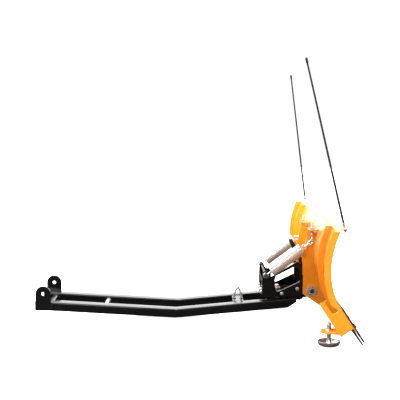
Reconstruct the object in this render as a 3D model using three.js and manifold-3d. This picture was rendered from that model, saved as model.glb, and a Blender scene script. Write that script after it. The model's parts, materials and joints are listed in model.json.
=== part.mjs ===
// ATV plow blade: push frame, swivel yoke, trip blade with springs, skid shoes and edge markers.
// Units are millimetres. +X is the driving direction, +Y is the driver's left, +Z is up.
import * as THREE from 'three';
import { mergeVertices } from 'three/addons/utils/BufferGeometryUtils.js';
import Module from 'manifold-3d';

const wasm = await Module();
wasm.setup();

// ---- driving dimensions ----
const GAP = 0.3; // between pieces that touch

const BLADE_WIDTH = 1320;
const REAR_X = -701.6; // rear face of the push frame
const BEND_X = -60; // where both rails turn upwards
const RAIL_FRONT_X = 489;
const RAIL_REAR_Z = 36; // underside of a rail at its rear end
const RAIL_RISE = 0.0936; // climb of the front half, per mm
const RAIL_WIDTH = 60;
const RAIL_HEIGHT = 40;
const RAIL_WALL = 3;
const RAIL_CORNER = 6;
const RAIL_Y = 105; // centre line of a rail
const NOSE_SLANT = 55; // length of the slanted cut under a rail's front end
const CAP_FLANGE = 3;

const LUG_X = -662;
const LUG_Z = 112;
const LUG_RADIUS = 35;
const LUG_HOLE = 8.25;
const LUG_THICK = 10;

const KINGPIN_X = 410;
const SWIVEL_PLATE_Z = 72;
const PLATE_THICK = 8;
const DETENT_RADIUS = 106; // kingpin to lock pin
const DETENT_ANGLES = [-30, -15, 0, 15, 30];
const LOCK_PIN_RADIUS = 7;
const LOCK_BORE_RADIUS = 7.5;

const YOKE_FLOOR_Z = 93;
const YOKE_PLATE_Y = 112; // mid plane of a side plate
const ANCHOR_X = 347; // spring anchor rod
const ANCHOR_Z = 202;
const PIVOT_X = 558; // trip pivot of the blade
const PIVOT_Z = 126;
const POST_TOP_Z = 232;
const CAM_HIGH = 22; // cam height with the pin lifted
const PIN_TRAVEL = 14;
const CAM_TURN = 70; // degrees of lever turn over that travel
const LEVER_LEAN = 26.6; // degrees, backwards from upright

const RIB_Y = 128; // mid plane of a centre rib
const SIDE_RIB_Y = 460;
const SKIN = 3; // moldboard sheet
const STRIP = 28; // depth of the narrow stiffeners
const BAR_THICK = 7;
const EDGE_ANGLE = THREE.MathUtils.degToRad(57); // slope of the lower blade and its wear bar
const SPRING_Y = 160;
const SPRING_ANGLE = THREE.MathUtils.degToRad(37);
const SPRING_RADIUS = 27;
const SPRING_WALL = 6;
const COIL_START = 28; // anchor rod to the first coil
const COIL_LENGTH = 172;
const LINK_WIRE = 3;
const LINK_LENGTH = 28;
const SHELF_Z = 405;
const SKID_X = 566;
const SKID_Y = 606;
const MARKER_Y = 640;

// ---- finishes ----
const finish = (color, roughness, metalness) =>
  () => new THREE.MeshStandardMaterial({ color, roughness, metalness });
const blackPaint = finish('#111214', 0.28, 0.2);
const orangePaint = finish('#ee8a1c', 0.35, 0.1);
const zinc = finish('#c4c3be', 0.3, 1.0);
const darkSteel = finish('#2b2a2a', 0.5, 0.8);
const springSteel = finish('#d8d6d0', 0.22, 1.0);
const castSteel = finish('#8d8a84', 0.5, 0.9);
const blackPlastic = finish('#151515', 0.55, 0.0);

// ---- solids ----
function toSolid(geometry) {
  const bare = geometry.index ? geometry.toNonIndexed() : geometry.clone();
  bare.deleteAttribute('normal');
  bare.deleteAttribute('uv');
  const merged = mergeVertices(bare, 1e-4);
  return new wasm.Manifold(new wasm.Mesh({
    numProp: 3,
    vertProperties: new Float32Array(merged.attributes.position.array),
    triVerts: new Uint32Array(merged.index.array),
  }));
}

function toGeometry(solid) {
  const mesh = solid.getMesh();
  const geometry = new THREE.BufferGeometry();
  geometry.setAttribute('position', new THREE.BufferAttribute(mesh.vertProperties, 3));
  geometry.setIndex(new THREE.BufferAttribute(mesh.triVerts, 1));
  const flat = geometry.toNonIndexed();
  flat.computeVertexNormals();
  return flat;
}

function join(...geometries) {
  return toGeometry(geometries.map(toSolid).reduce((all, next) => all.add(next)));
}

function cut(base, ...tools) {
  return toGeometry(tools.map(toSolid).reduce((left, tool) => left.subtract(tool), toSolid(base)));
}

function box(x0, x1, y0, y1, z0, z1) {
  const geometry = new THREE.BoxGeometry(x1 - x0, y1 - y0, z1 - z0);
  return geometry.translate((x0 + x1) / 2, (y0 + y1) / 2, (z0 + z1) / 2);
}

// A round bar along Y, or along Z.
function barY(x, z, radius, y0, y1, sides = 24) {
  return new THREE.CylinderGeometry(radius, radius, y1 - y0, sides).translate(x, (y0 + y1) / 2, z);
}

function barZ(x, y, radius, z0, z1, sides = 24) {
  const bar = new THREE.CylinderGeometry(radius, radius, z1 - z0, sides).rotateX(Math.PI / 2);
  return bar.translate(x, y, (z0 + z1) / 2);
}

// A side profile in X and Z as a plate from y0 to y1.
function plateY(shape, y0, y1, curveSegments = 12) {
  const options = { depth: y1 - y0, bevelEnabled: false, curveSegments };
  return new THREE.ExtrudeGeometry(shape, options).rotateX(Math.PI / 2).translate(0, y1, 0);
}

// A plan profile in X and Y as a plate from z0 to z1.
function plateZ(shape, z0, z1, curveSegments = 24) {
  const options = { depth: z1 - z0, bevelEnabled: false, curveSegments };
  return new THREE.ExtrudeGeometry(shape, options).translate(0, 0, z0);
}

function outline(points) {
  return new THREE.Shape(points.map(([u, v]) => new THREE.Vector2(u, v)));
}

function hole(u, v, radius, sides = 20) {
  const corners = Array.from({ length: sides }, (_, i) => {
    const angle = -2 * Math.PI * i / sides;
    return new THREE.Vector2(u + radius * Math.cos(angle), v + radius * Math.sin(angle));
  });
  return new THREE.Path().setFromPoints(corners);
}

// A round wire along a curve; closed curves make closed rings.
function wire(curve, radius, steps, sides = 8) {
  const section = new THREE.Shape().absarc(0, 0, radius, 0, 2 * Math.PI, false);
  const options = { steps, extrudePath: curve, curveSegments: sides / 2, bevelEnabled: false };
  return new THREE.ExtrudeGeometry(section, options);
}

function hexNut(x, y, z0, z1, acrossFlats, bore) {
  const shape = new THREE.Shape();
  for (let i = 0; i < 6; i += 1) {
    const angle = (i + 0.5) * Math.PI / 3;
    const corner = acrossFlats / 2 / Math.cos(Math.PI / 6);
    const point = [corner * Math.cos(angle), corner * Math.sin(angle)];
    if (i === 0) shape.moveTo(...point);
    else shape.lineTo(...point);
  }
  shape.holes.push(hole(0, 0, bore));
  return plateZ(shape, z0, z1, 10).translate(x, y, 0);
}

// ---- the plow's group and its two sides ----
const plow = new THREE.Group();

function add(name, geometry, material) {
  const mesh = new THREE.Mesh(geometry, material());
  mesh.name = name;
  plow.add(mesh);
  return mesh;
}

const SIDES = [
  { name: 'right', sign: -1 },
  { name: 'left', sign: 1 },
];

// The two faces of a plate on one side, lowest y first.
function faces(sign, inner, outer) {
  return sign < 0 ? [-outer, -inner] : [inner, outer];
}

// ---- push frame ----
function railBottom(x) {
  if (x > BEND_X) return (x - BEND_X) * RAIL_RISE;
  return RAIL_REAR_Z * (BEND_X - x) / (BEND_X - REAR_X);
}

function roundedRectangle(Path, width, height, radius) {
  const path = new Path();
  const [w, h, r] = [width / 2, height / 2, radius];
  path.moveTo(-w + r, -h);
  path.lineTo(w - r, -h).absarc(w - r, -h + r, r, -Math.PI / 2, 0, false);
  path.lineTo(w, h - r).absarc(w - r, h - r, r, 0, Math.PI / 2, false);
  path.lineTo(-w + r, h).absarc(-w + r, h - r, r, Math.PI / 2, Math.PI, false);
  path.lineTo(-w, -h + r).absarc(-w + r, -h + r, r, Math.PI, 1.5 * Math.PI, false);
  return path;
}

// A straight section is laid along the two slopes of the rail, and its nose is cut on a slant.
function railSolid(sign, inset, rearX) {
  const section = roundedRectangle(
    THREE.Shape, RAIL_WIDTH - 2 * inset, RAIL_HEIGHT - 2 * inset, RAIL_CORNER - inset);
  const options = { depth: 2, steps: 2, bevelEnabled: false, curveSegments: 4 };
  const bar = new THREE.ExtrudeGeometry(section, options);
  const frontX = RAIL_FRONT_X - inset;
  const stations = [rearX, BEND_X, frontX];
  const place = bar.attributes.position;
  for (let i = 0; i < place.count; i += 1) {
    const x = stations[Math.round(place.getZ(i))];
    const z = railBottom(x) + RAIL_HEIGHT / 2 + place.getY(i);
    place.setXYZ(i, x, sign * RAIL_Y + place.getX(i), z);
  }
  const low = railBottom(RAIL_FRONT_X) + inset - 12;
  const slant = outline([[frontX - NOSE_SLANT, low], [frontX + 20, low], [frontX + 20, low + 48]]);
  const [y0, y1] = faces(sign, RAIL_Y - RAIL_WIDTH, RAIL_Y + RAIL_WIDTH);
  return cut(bar, plateY(slant, y0, y1));
}

// Hollow from the open rear end to the closed nose.
function rail(sign) {
  const rearX = REAR_X + CAP_FLANGE + GAP;
  return cut(railSolid(sign, 0, rearX), railSolid(sign, RAIL_WALL, rearX - 10));
}

// A plug with a flange that closes the rear end of a rail.
function railCap(sign) {
  const z = railBottom(REAR_X) + RAIL_HEIGHT / 2;
  const flange = roundedRectangle(THREE.Shape, RAIL_HEIGHT, RAIL_WIDTH, RAIL_CORNER);
  const neckWidth = RAIL_WIDTH - 2 * RAIL_WALL - 4;
  const neckHeight = RAIL_HEIGHT - 2 * RAIL_WALL - 4;
  const neck = box(REAR_X + 1, REAR_X + 22, -neckWidth / 2, neckWidth / 2, -neckHeight / 2, neckHeight / 2);
  const options = { depth: CAP_FLANGE, bevelEnabled: false, curveSegments: 4 };
  const cap = new THREE.ExtrudeGeometry(flange, options);
  cap.rotateY(Math.PI / 2).translate(REAR_X, 0, 0);
  return join(cap, neck).translate(0, sign * RAIL_Y, z);
}

// A thumb-shaped lug on the outer face of a rail, with the hole for the mount pin.
function lug(sign) {
  const foot = railBottom(LUG_X) + 2;
  const shape = new THREE.Shape();
  shape.moveTo(LUG_X - LUG_RADIUS, foot);
  shape.lineTo(LUG_X + LUG_RADIUS, foot);
  shape.lineTo(LUG_X + LUG_RADIUS, LUG_Z);
  shape.absarc(LUG_X, LUG_Z, LUG_RADIUS, 0, Math.PI, false);
  shape.holes.push(hole(LUG_X, LUG_Z, LUG_HOLE));
  const inner = RAIL_Y + RAIL_WIDTH / 2 + GAP;
  return plateY(shape, ...faces(sign, inner, inner + LUG_THICK), 16);
}

function crossTube(x, radius, wall) {
  const z = railBottom(x) + RAIL_HEIGHT / 2;
  const end = RAIL_Y - RAIL_WIDTH / 2 - GAP;
  return cut(barY(x, z, radius, -end, end), barY(x, z, radius - wall, -end - 1, end + 1));
}

const LIFT_X = 227;
const LIFT_TOP_Z = 122;
const LIFT_BEAM_TOP = railBottom(LIFT_X) + RAIL_HEIGHT - 3;

function liftBeam() {
  const end = RAIL_Y - RAIL_WIDTH / 2 - GAP;
  const [low, high] = [LIFT_BEAM_TOP - 30, LIFT_BEAM_TOP];
  const outer = box(LIFT_X - 25, LIFT_X + 25, -end, end, low, high);
  const inner = box(LIFT_X - 22, LIFT_X + 22, -end - 1, end + 1, low + 3, high - 3);
  return cut(outer, inner);
}

// The pointed hoop that the lift strap hooks into.
function liftHoop() {
  const foot = LIFT_BEAM_TOP + GAP;
  const route = new THREE.CatmullRomCurve3([
    [-16.5, foot], [-16.5, foot + 12], [-15, foot + 24], [-8, foot + 41], [0, LIFT_TOP_Z - 5],
    [8, foot + 41], [15, foot + 24], [16.5, foot + 12], [16.5, foot],
  ].map(([dx, z]) => new THREE.Vector3(LIFT_X + dx, 0, z)));
  return wire(route, 5, 32, 10);
}

// Plan of the plate that the yoke swings on: a fan round the kingpin with the detent holes.
function swivelPlate() {
  const half = RAIL_Y - RAIL_WIDTH / 2 - GAP;
  const reach = DETENT_RADIUS + 18;
  const shape = new THREE.Shape();
  const spread = Math.asin(half / reach);
  shape.moveTo(KINGPIN_X - 62, -half);
  shape.absarc(KINGPIN_X, 0, reach, -spread, spread, false);
  shape.lineTo(KINGPIN_X - 62, half);
  const [low, high] = [SWIVEL_PLATE_Z, SWIVEL_PLATE_Z + PLATE_THICK];
  const drills = DETENT_ANGLES.map((degrees) => {
    const angle = THREE.MathUtils.degToRad(degrees);
    const x = KINGPIN_X + DETENT_RADIUS * Math.cos(angle);
    return barZ(x, DETENT_RADIUS * Math.sin(angle), LOCK_BORE_RADIUS, low - 1, high + 1, 20);
  });
  drills.push(barZ(KINGPIN_X, 0, 10.5, low - 1, high + 1));
  return cut(plateZ(shape, low, high, 12), ...drills);
}

SIDES.forEach(({ name, sign }) => {
  add(`${name}_rail`, rail(sign), blackPaint);
  add(`${name}_rail_cap`, railCap(sign), blackPlastic);
  add(`${name}_mount_lug`, lug(sign), blackPaint);
});
add('rear_cross_tube', crossTube(-642, 15, 3), blackPaint);
add('middle_cross_tube', crossTube(-389, 11, 2.5), zinc);
add('lift_beam', liftBeam(), blackPaint);
add('lift_hoop', liftHoop(), zinc);
add('swivel_plate', swivelPlate(), blackPaint);

// ---- kingpin ----
const YOKE_FLOOR_TOP = YOKE_FLOOR_Z + PLATE_THICK;
const SPACER_Z = SWIVEL_PLATE_Z + PLATE_THICK + GAP;
add('kingpin_bolt', join(
  hexNut(KINGPIN_X, 0, SWIVEL_PLATE_Z - 12 - GAP, SWIVEL_PLATE_Z - GAP, 30, 2),
  barZ(KINGPIN_X, 0, 10, SWIVEL_PLATE_Z - 10, YOKE_FLOOR_TOP + 30),
), zinc);
add('kingpin_spacer', cut(
  barZ(KINGPIN_X, 0, 30, SPACER_Z, YOKE_FLOOR_Z - GAP, 36),
  barZ(KINGPIN_X, 0, 10.5, SPACER_Z - 1, YOKE_FLOOR_Z),
), castSteel);
add('kingpin_nut', hexNut(KINGPIN_X, 0, YOKE_FLOOR_TOP + GAP, YOKE_FLOOR_TOP + 18, 30, 10.4), zinc);

// ---- swivel yoke ----
const HORN_RADIUS = 12;
const EAR_RADIUS = 31;
const YOKE_INNER = YOKE_PLATE_Y - 4;
const POST_X = KINGPIN_X + DETENT_RADIUS;

// A side plate: a horn for the springs at the back, a long slot, and a round ear at the trip pivot.
function yokePlate(sign) {
  const shape = new THREE.Shape();
  shape.moveTo(333, YOKE_FLOOR_Z);
  shape.lineTo(333, 150);
  shape.lineTo(ANCHOR_X - HORN_RADIUS, ANCHOR_Z - 4);
  shape.absarc(ANCHOR_X, ANCHOR_Z, HORN_RADIUS, Math.PI * 1.05, 0.15, true);
  shape.quadraticCurveTo(364, 184, 380, 190);
  shape.lineTo(480, 250);
  shape.quadraticCurveTo(500, 261, 508, 246);
  shape.lineTo(519, 184);
  shape.quadraticCurveTo(524, 162, 540, PIVOT_Z + 27);
  shape.absarc(PIVOT_X, PIVOT_Z, EAR_RADIUS, Math.PI * 0.65, -Math.PI * 0.62, true);
  shape.lineTo(530, YOKE_FLOOR_Z);
  const slot = new THREE.Shape();
  slot.moveTo(392, 142);
  slot.quadraticCurveTo(392, 115, 412, 121);
  slot.lineTo(496, 160);
  slot.quadraticCurveTo(507, 166, 506, 178);
  slot.lineTo(500, 214);
  slot.quadraticCurveTo(494, 236, 476, 232);
  slot.lineTo(404, 195);
  slot.quadraticCurveTo(392, 189, 392, 176);
  const [y0, y1] = faces(sign, YOKE_INNER, YOKE_INNER + 8);
  const drill = (x, z, radius) => barY(x, z, radius + GAP, y0 - 1, y1 + 1);
  const window = plateY(slot, y0 - 1, y1 + 1, 8);
  return cut(plateY(shape, y0, y1, 8), window, drill(ANCHOR_X, ANCHOR_Z, 5), drill(PIVOT_X, PIVOT_Z, 10));
}

function yokeFloor() {
  const half = YOKE_INNER - GAP;
  const shape = outline([[341, -half], [530, -half], [530, half], [341, half]]);
  const drill = (x, radius) => barZ(x, 0, radius, YOKE_FLOOR_Z - 1, YOKE_FLOOR_TOP + 1);
  const plate = plateZ(shape, YOKE_FLOOR_Z, YOKE_FLOOR_TOP);
  return cut(plate, drill(KINGPIN_X, 10.5), drill(POST_X, LOCK_BORE_RADIUS));
}

// The tie plate across the back of the yoke, with a window that lightens it.
function yokeTie() {
  const half = YOKE_INNER - GAP;
  const plate = box(334, 340.7, -half, half, YOKE_FLOOR_Z, 172);
  return cut(plate, box(330, 345, -60, 60, 118, 150));
}

function latchPost() {
  const base = YOKE_FLOOR_TOP + GAP;
  const post = box(POST_X - 12, POST_X + 12, -17, 17, base, POST_TOP_Z);
  const foot = box(POST_X - 24, POST_X + 12, -34, 34, base, base + 8);
  const gusset = box(POST_X - 26, POST_X - 11, -10, 10, base, POST_TOP_Z - 18);
  return cut(join(post, foot, gusset), barZ(POST_X, 0, LOCK_BORE_RADIUS, base - 1, POST_TOP_Z + 1));
}

SIDES.forEach(({ name, sign }) => add(`${name}_yoke_plate`, yokePlate(sign), blackPaint));
add('yoke_floor_plate', yokeFloor(), blackPaint);
add('yoke_tie_plate', yokeTie(), blackPaint);
add('spring_anchor_rod', barY(ANCHOR_X, ANCHOR_Z, 5, -SPRING_Y - 14, SPRING_Y + 14), darkSteel);
add('latch_post', latchPost(), blackPaint);
add('pivot_tube', cut(
  barY(PIVOT_X, PIVOT_Z, 17, -YOKE_INNER + GAP, YOKE_INNER - GAP),
  barY(PIVOT_X, PIVOT_Z, 10 + GAP, -YOKE_INNER - 1, YOKE_INNER + 1),
), blackPaint);

// ---- lock pin and its cam lever ----
const CAM_Z = POST_TOP_Z + GAP + CAM_HIGH;
const CHEEK_IN = LOCK_PIN_RADIUS + GAP;
const CHEEK_OUT = CHEEK_IN + 4;
const PIN_HEAD = 7.5; // lock pin above the lever's pivot
const LEVER_PIN_RADIUS = 3;

add('lock_pin', cut(
  barZ(POST_X, 0, LOCK_PIN_RADIUS, SWIVEL_PLATE_Z + PLATE_THICK + 2, CAM_Z + PIN_HEAD),
  barY(POST_X, CAM_Z, LEVER_PIN_RADIUS + GAP, -20, 20, 16),
), zinc);
add('lever_pivot_pin',
  barY(POST_X, CAM_Z, LEVER_PIN_RADIUS, -CHEEK_OUT - 3, CHEEK_OUT + 3, 16), darkSteel);

// An involute cam: each degree of turn lets the pin down by the same amount.
function camShape() {
  const turn = THREE.MathUtils.degToRad(CAM_TURN);
  const slope = -PIN_TRAVEL / turn;
  const points = [];
  for (let step = 0; step <= 10; step += 1) {
    const phi = turn * step / 10;
    const height = CAM_HIGH + slope * phi;
    const down = -Math.PI / 2 - phi;
    points.push([
      height * Math.cos(down) + slope * Math.sin(down),
      height * Math.sin(down) - slope * Math.cos(down),
    ]);
  }
  return outline([...points, [-9, 6], [-6, 12], [6, 12], [10, 2], [10, -12]]);
}

// The cam cheeks stay square to the post at rest, and the handle leans back from them.
function lockLever() {
  const lean = THREE.MathUtils.degToRad(LEVER_LEAN);
  const cheeks = [-1, 1].map((sign) => plateY(camShape(), ...faces(sign, CHEEK_IN, CHEEK_OUT)));
  const web = box(-6, 6, -CHEEK_OUT, CHEEK_OUT, 12, 22).rotateY(-lean);
  const neck = cut(
    plateY(outline([[-9, 6], [-6, 12], [-15, 20], [0, 24], [6, 12], [8, 6]]), -CHEEK_OUT, CHEEK_OUT),
    box(-20, 20, -CHEEK_IN, CHEEK_IN, -20, 11),
  );
  const handle = barZ(0, 0, 5.5, 16, 109, 16).rotateY(-lean);
  const eye = barY(0, 0, LEVER_PIN_RADIUS + GAP, -20, 20, 16);
  return cut(join(...cheeks, web, neck, handle), eye).translate(POST_X, 0, CAM_Z);
}

function leverGrip() {
  const profile = [[5.8, 34], [9.5, 34], [11, 42], [10, 60], [8.5, 92], [6.8, 99], [5.8, 99], [5.8, 34]];
  const grip = new THREE.LatheGeometry(profile.map(([r, h]) => new THREE.Vector2(r, h)), 20);
  const lean = THREE.MathUtils.degToRad(LEVER_LEAN);
  return grip.rotateX(Math.PI / 2).rotateY(-lean).translate(POST_X, 0, CAM_Z);
}

add('lock_lever', lockLever(), blackPaint);
add('lever_grip', leverGrip(), blackPlastic);

// ---- blade ----
const DOWN = new THREE.Vector2(Math.cos(EDGE_ANGLE), -Math.sin(EDGE_ANGLE));
const FORWARD = new THREE.Vector2(Math.sin(EDGE_ANGLE), Math.cos(EDGE_ANGLE));
const KNEE = new THREE.Vector2(601, 167); // where the curved sheet turns straight
const SKIN_BELOW_KNEE = 122;
const TOP = new THREE.Vector2(603, 472);
const LIP_Z = TOP.y + 2; // upper face of the lip that carries the markers
const LIP_REACH = 27;
const ROLL = new THREE.CubicBezierCurve(
  KNEE,
  KNEE.clone().addScaledVector(DOWN, -66),
  new THREE.Vector2(541, 337),
  TOP,
);

// Front line of the sheet from its lower edge to its top, moved back by a distance.
function skinLine(back, fromT = 0, toT = 1, steps = 20) {
  const points = [];
  for (let step = 0; step <= steps; step += 1) {
    const t = fromT + (toT - fromT) * step / steps;
    const along = ROLL.getTangent(t);
    const point = ROLL.getPoint(t);
    points.push([point.x - along.y * back, point.y + along.x * back]);
  }
  return points;
}

function belowKnee(distance, back) {
  return [
    KNEE.x + DOWN.x * distance - FORWARD.x * back,
    KNEE.y + DOWN.y * distance - FORWARD.y * back,
  ];
}

function moldboard() {
  const lip = [[TOP.x + 4, LIP_Z - SKIN], [TOP.x + LIP_REACH, LIP_Z - SKIN], [TOP.x + LIP_REACH, LIP_Z]];
  const back = skinLine(SKIN).reverse();
  const shape = outline([
    belowKnee(SKIN_BELOW_KNEE, 0), ...skinLine(0, 0, 0.975), ...lip,
    [TOP.x, LIP_Z], ...back, belowKnee(SKIN_BELOW_KNEE, SKIN),
  ]);
  const half = BLADE_WIDTH / 2;
  return plateY(shape, -half, half);
}

// A narrow stiffener that follows the back of the sheet and widens to a foot below the knee.
const BACK = SKIN + GAP;
function sideRib(sign) {
  const rear = skinLine(STRIP, 0, 0.955).reverse();
  const shape = outline([
    belowKnee(83, BACK), ...skinLine(BACK, 0, 0.97), ...rear, [564, 146], [594, 92],
  ]);
  return plateY(shape, ...faces(sign, SIDE_RIB_Y - 3, SIDE_RIB_Y + 3));
}

// Narrow above, and below the knee a wide slanted foot that carries the skid bracket.
function endPlate(sign) {
  const rear = skinLine(STRIP, 0.1, 0.955).reverse();
  const shape = outline([
    belowKnee(101, BACK), ...skinLine(BACK, 0, 0.97), ...rear,
    [595, 152], [584, 142], [574, 140], [565, 146], [553, 164], [541, 184], [525, 184], [520, 176], [606, 47],
  ]);
  return plateY(shape, ...faces(sign, BLADE_WIDTH / 2 - 6, BLADE_WIDTH / 2));
}

// A deep rib that hangs the blade on the trip pivot.
function centreRib(sign) {
  const shape = outline([
    belowKnee(83, BACK), ...skinLine(BACK, 0, 0.79, 16),
    [537, SHELF_Z - GAP], [518, 312], [517, 112], [529, 103], [592, 60],
    belowKnee(112, BACK + BAR_THICK + 1), belowKnee(83, BACK + BAR_THICK + 1),
  ]);
  shape.holes.push(hole(PIVOT_X, PIVOT_Z, 10 + GAP));
  return plateY(shape, ...faces(sign, RIB_Y - 4, RIB_Y + 4));
}

function nearestSkinX(z) {
  const line = skinLine(BACK, 0, 1, 60);
  return line.find((point) => point[1] > z)[0];
}

// ---- springs, chain links and eyebolts ----
const SPRING_DIR = new THREE.Vector2(Math.cos(SPRING_ANGLE), Math.sin(SPRING_ANGLE));
const COIL_END = COIL_START + COIL_LENGTH;
const HOOK_RING = 9;
const HOOK_WIRE = 3.5;
const UPPER_HOOK = COIL_END + 12;
const FIRST_LINK = UPPER_HOOK + HOOK_RING - HOOK_WIRE - LINK_WIRE - GAP;
const SECOND_LINK = FIRST_LINK + LINK_LENGTH - 2 * LINK_WIRE - GAP;
const EYE_WIRE = SECOND_LINK + LINK_LENGTH - LINK_WIRE - HOOK_WIRE - GAP;
const EYE_X = ANCHOR_X + EYE_WIRE * SPRING_DIR.x;
const EYE_Z = ANCHOR_Z + EYE_WIRE * SPRING_DIR.y + HOOK_RING;
const EYEBOLT_TOP = 440;

// Built upright on the anchor rod, then leaned onto the spring's own line.
function onSpringLine(geometry, sign) {
  geometry.rotateY(Math.PI / 2 - SPRING_ANGLE);
  return geometry.translate(ANCHOR_X, sign * SPRING_Y, ANCHOR_Z);
}

function tripSpring(sign) {
  const sleeve = cut(
    barZ(0, 0, SPRING_RADIUS, COIL_START, COIL_END, 32),
    barZ(0, 0, SPRING_RADIUS - SPRING_WALL, COIL_START - 1, COIL_END + 1, 32),
  );
  const reach = SPRING_RADIUS - 2;
  const bridge = (z) => box(-reach, reach, -HOOK_WIRE, HOOK_WIRE, z, z + 2 * HOOK_WIRE);
  const stem = (z0, z1) => barZ(0, 0, HOOK_WIRE, z0, z1, 12);
  const hook = (z) => new THREE.TorusGeometry(HOOK_RING, HOOK_WIRE, 10, 28)
    .rotateX(Math.PI / 2).translate(0, 0, z);
  const solid = join(
    sleeve, bridge(COIL_START), stem(HOOK_RING, COIL_START + 3), hook(0),
    bridge(COIL_END - 2 * HOOK_WIRE), hook(UPPER_HOOK),
  );
  return onSpringLine(solid, sign);
}

// One chain link: a racetrack of round wire, flat in X and Z or turned a quarter.
function chainLink(start, sign, turned) {
  const bend = 7.5;
  const straight = LINK_LENGTH - 2 * bend;
  const track = new THREE.CurvePath();
  const corner = (z, from) => new THREE.CatmullRomCurve3([0, 1, 2, 3, 4].map((i) => {
    const angle = from + i * Math.PI / 4;
    return new THREE.Vector3(bend * Math.cos(angle), 0, z + bend * Math.sin(angle));
  }));
  const [low, high] = [start + bend, start + bend + straight];
  track.add(new THREE.LineCurve3(new THREE.Vector3(bend, 0, low), new THREE.Vector3(bend, 0, high)));
  track.add(corner(high, 0));
  track.add(new THREE.LineCurve3(new THREE.Vector3(-bend, 0, high), new THREE.Vector3(-bend, 0, low)));
  track.add(corner(low, Math.PI));
  const loop = new THREE.CatmullRomCurve3(track.getSpacedPoints(24).slice(0, -1), true);
  const link = wire(loop, LINK_WIRE, 36, 8);
  if (turned) link.rotateZ(Math.PI / 2);
  return onSpringLine(link, sign);
}

function eyebolt(sign) {
  const eye = new THREE.TorusGeometry(HOOK_RING, HOOK_WIRE, 8, 28).rotateY(Math.PI / 2)
    .translate(EYE_X, sign * SPRING_Y, EYE_Z);
  return join(eye, barZ(EYE_X, sign * SPRING_Y, 5, EYE_Z + HOOK_RING - 2, EYEBOLT_TOP, 16));
}

function shelf(sign) {
  const front = nearestSkinX(SHELF_Z) - 1;
  const [y0, y1] = faces(sign, RIB_Y - 22, SPRING_Y + 22);
  const plate = box(537, front, y0, y1, SHELF_Z, SHELF_Z + 6);
  return cut(plate, barZ(EYE_X, sign * SPRING_Y, 5.6, SHELF_Z - 1, SHELF_Z + 7, 16));
}

SIDES.forEach(({ name, sign }) => {
  add(`${name}_trip_spring`, tripSpring(sign), springSteel);
  add(`${name}_chain_link_lower`, chainLink(FIRST_LINK, sign, true), zinc);
  add(`${name}_chain_link_upper`, chainLink(SECOND_LINK, sign, false), zinc);
  add(`${name}_eyebolt`, eyebolt(sign), zinc);
  add(`${name}_eyebolt_nut`,
    hexNut(EYE_X, sign * SPRING_Y, SHELF_Z + 6 + GAP, SHELF_Z + 15, 17, 5 + GAP), zinc);
});

add('moldboard', moldboard(), orangePaint);
SIDES.forEach(({ name, sign }) => {
  add(`${name}_end_plate`, endPlate(sign), orangePaint);
  add(`${name}_side_rib`, sideRib(sign), orangePaint);
  add(`${name}_centre_rib`, centreRib(sign), orangePaint);
  add(`${name}_spring_shelf`, shelf(sign), orangePaint);
});

// ---- trip pivot ----
const SHAFT_END = RIB_Y + 4 + GAP + 5 + 4;
add('pivot_shaft', barY(PIVOT_X, PIVOT_Z, 10, -SHAFT_END, SHAFT_END, 32), darkSteel);
SIDES.forEach(({ name, sign }) => {
  const start = RIB_Y + 4 + GAP;
  const [y0, y1] = faces(sign, start, start + 5);
  const washer = cut(
    barY(PIVOT_X, PIVOT_Z, 24.5, y0, y1, 40),
    barY(PIVOT_X, PIVOT_Z, 10 + GAP, y0 - 1, y1 + 1, 40),
  );
  add(`${name}_pivot_washer`, washer, zinc);
});

// ---- wear edge ----
// A bar lies on the sheet, from one distance below the knee to another.
function edgeBar(from, to, back, ends) {
  const shape = outline([
    belowKnee(from, back), belowKnee(from, back + BAR_THICK),
    belowKnee(to, back + BAR_THICK), belowKnee(to, back),
  ]);
  const half = BLADE_WIDTH / 2 - ends;
  return plateY(shape, -half, half);
}

add('wear_bar', edgeBar(12, 172, -BAR_THICK - GAP, 0), darkSteel);
add('backing_bar', edgeBar(84, 179, BACK, 7), darkSteel);

// ---- skid shoes ----
const BRACKET_Z = 57;

function skidBracket(sign) {
  const [y0, y1] = faces(sign, SKID_Y - 24, BLADE_WIDTH / 2 - 6 - GAP);
  const shape = new THREE.Shape();
  shape.moveTo(606, y0);
  shape.lineTo(606, y1);
  shape.lineTo(SKID_X, y1);
  shape.absarc(SKID_X, (y0 + y1) / 2, (y1 - y0) / 2, Math.PI / 2, 1.5 * Math.PI, false);
  shape.holes.push(hole(SKID_X, sign * SKID_Y, 8.6));
  return plateZ(shape, BRACKET_Z, BRACKET_Z + 8, 10);
}

// A dished round shoe on a stem; the collar under the bracket sets its height.
function skidShoe(sign) {
  const profile = [
    [0, 0], [30, 0], [40, 4], [44.5, 12], [45, 20], [41, 20], [40.5, 14], [37, 8], [28, 5], [13, 6],
    [12, 14], [8.2, 20], [8.2, 48], [14, 48], [14, BRACKET_Z - GAP], [8.2, BRACKET_Z - GAP],
    [8.2, 90], [6.5, 93], [0, 93],
  ];
  const shoe = new THREE.LatheGeometry(profile.map(([r, z]) => new THREE.Vector2(r, z)), 36);
  return shoe.rotateX(Math.PI / 2).translate(SKID_X, sign * SKID_Y, 0);
}

SIDES.forEach(({ name, sign }) => {
  add(`${name}_skid_bracket`, skidBracket(sign), orangePaint);
  add(`${name}_skid_shoe`, skidShoe(sign), castSteel);
});

// ---- edge markers ----
const MARKER_LENGTH = 678;
const MARKER_LEAN = { right: 13.45, left: 7.1 }; // degrees backwards

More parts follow.
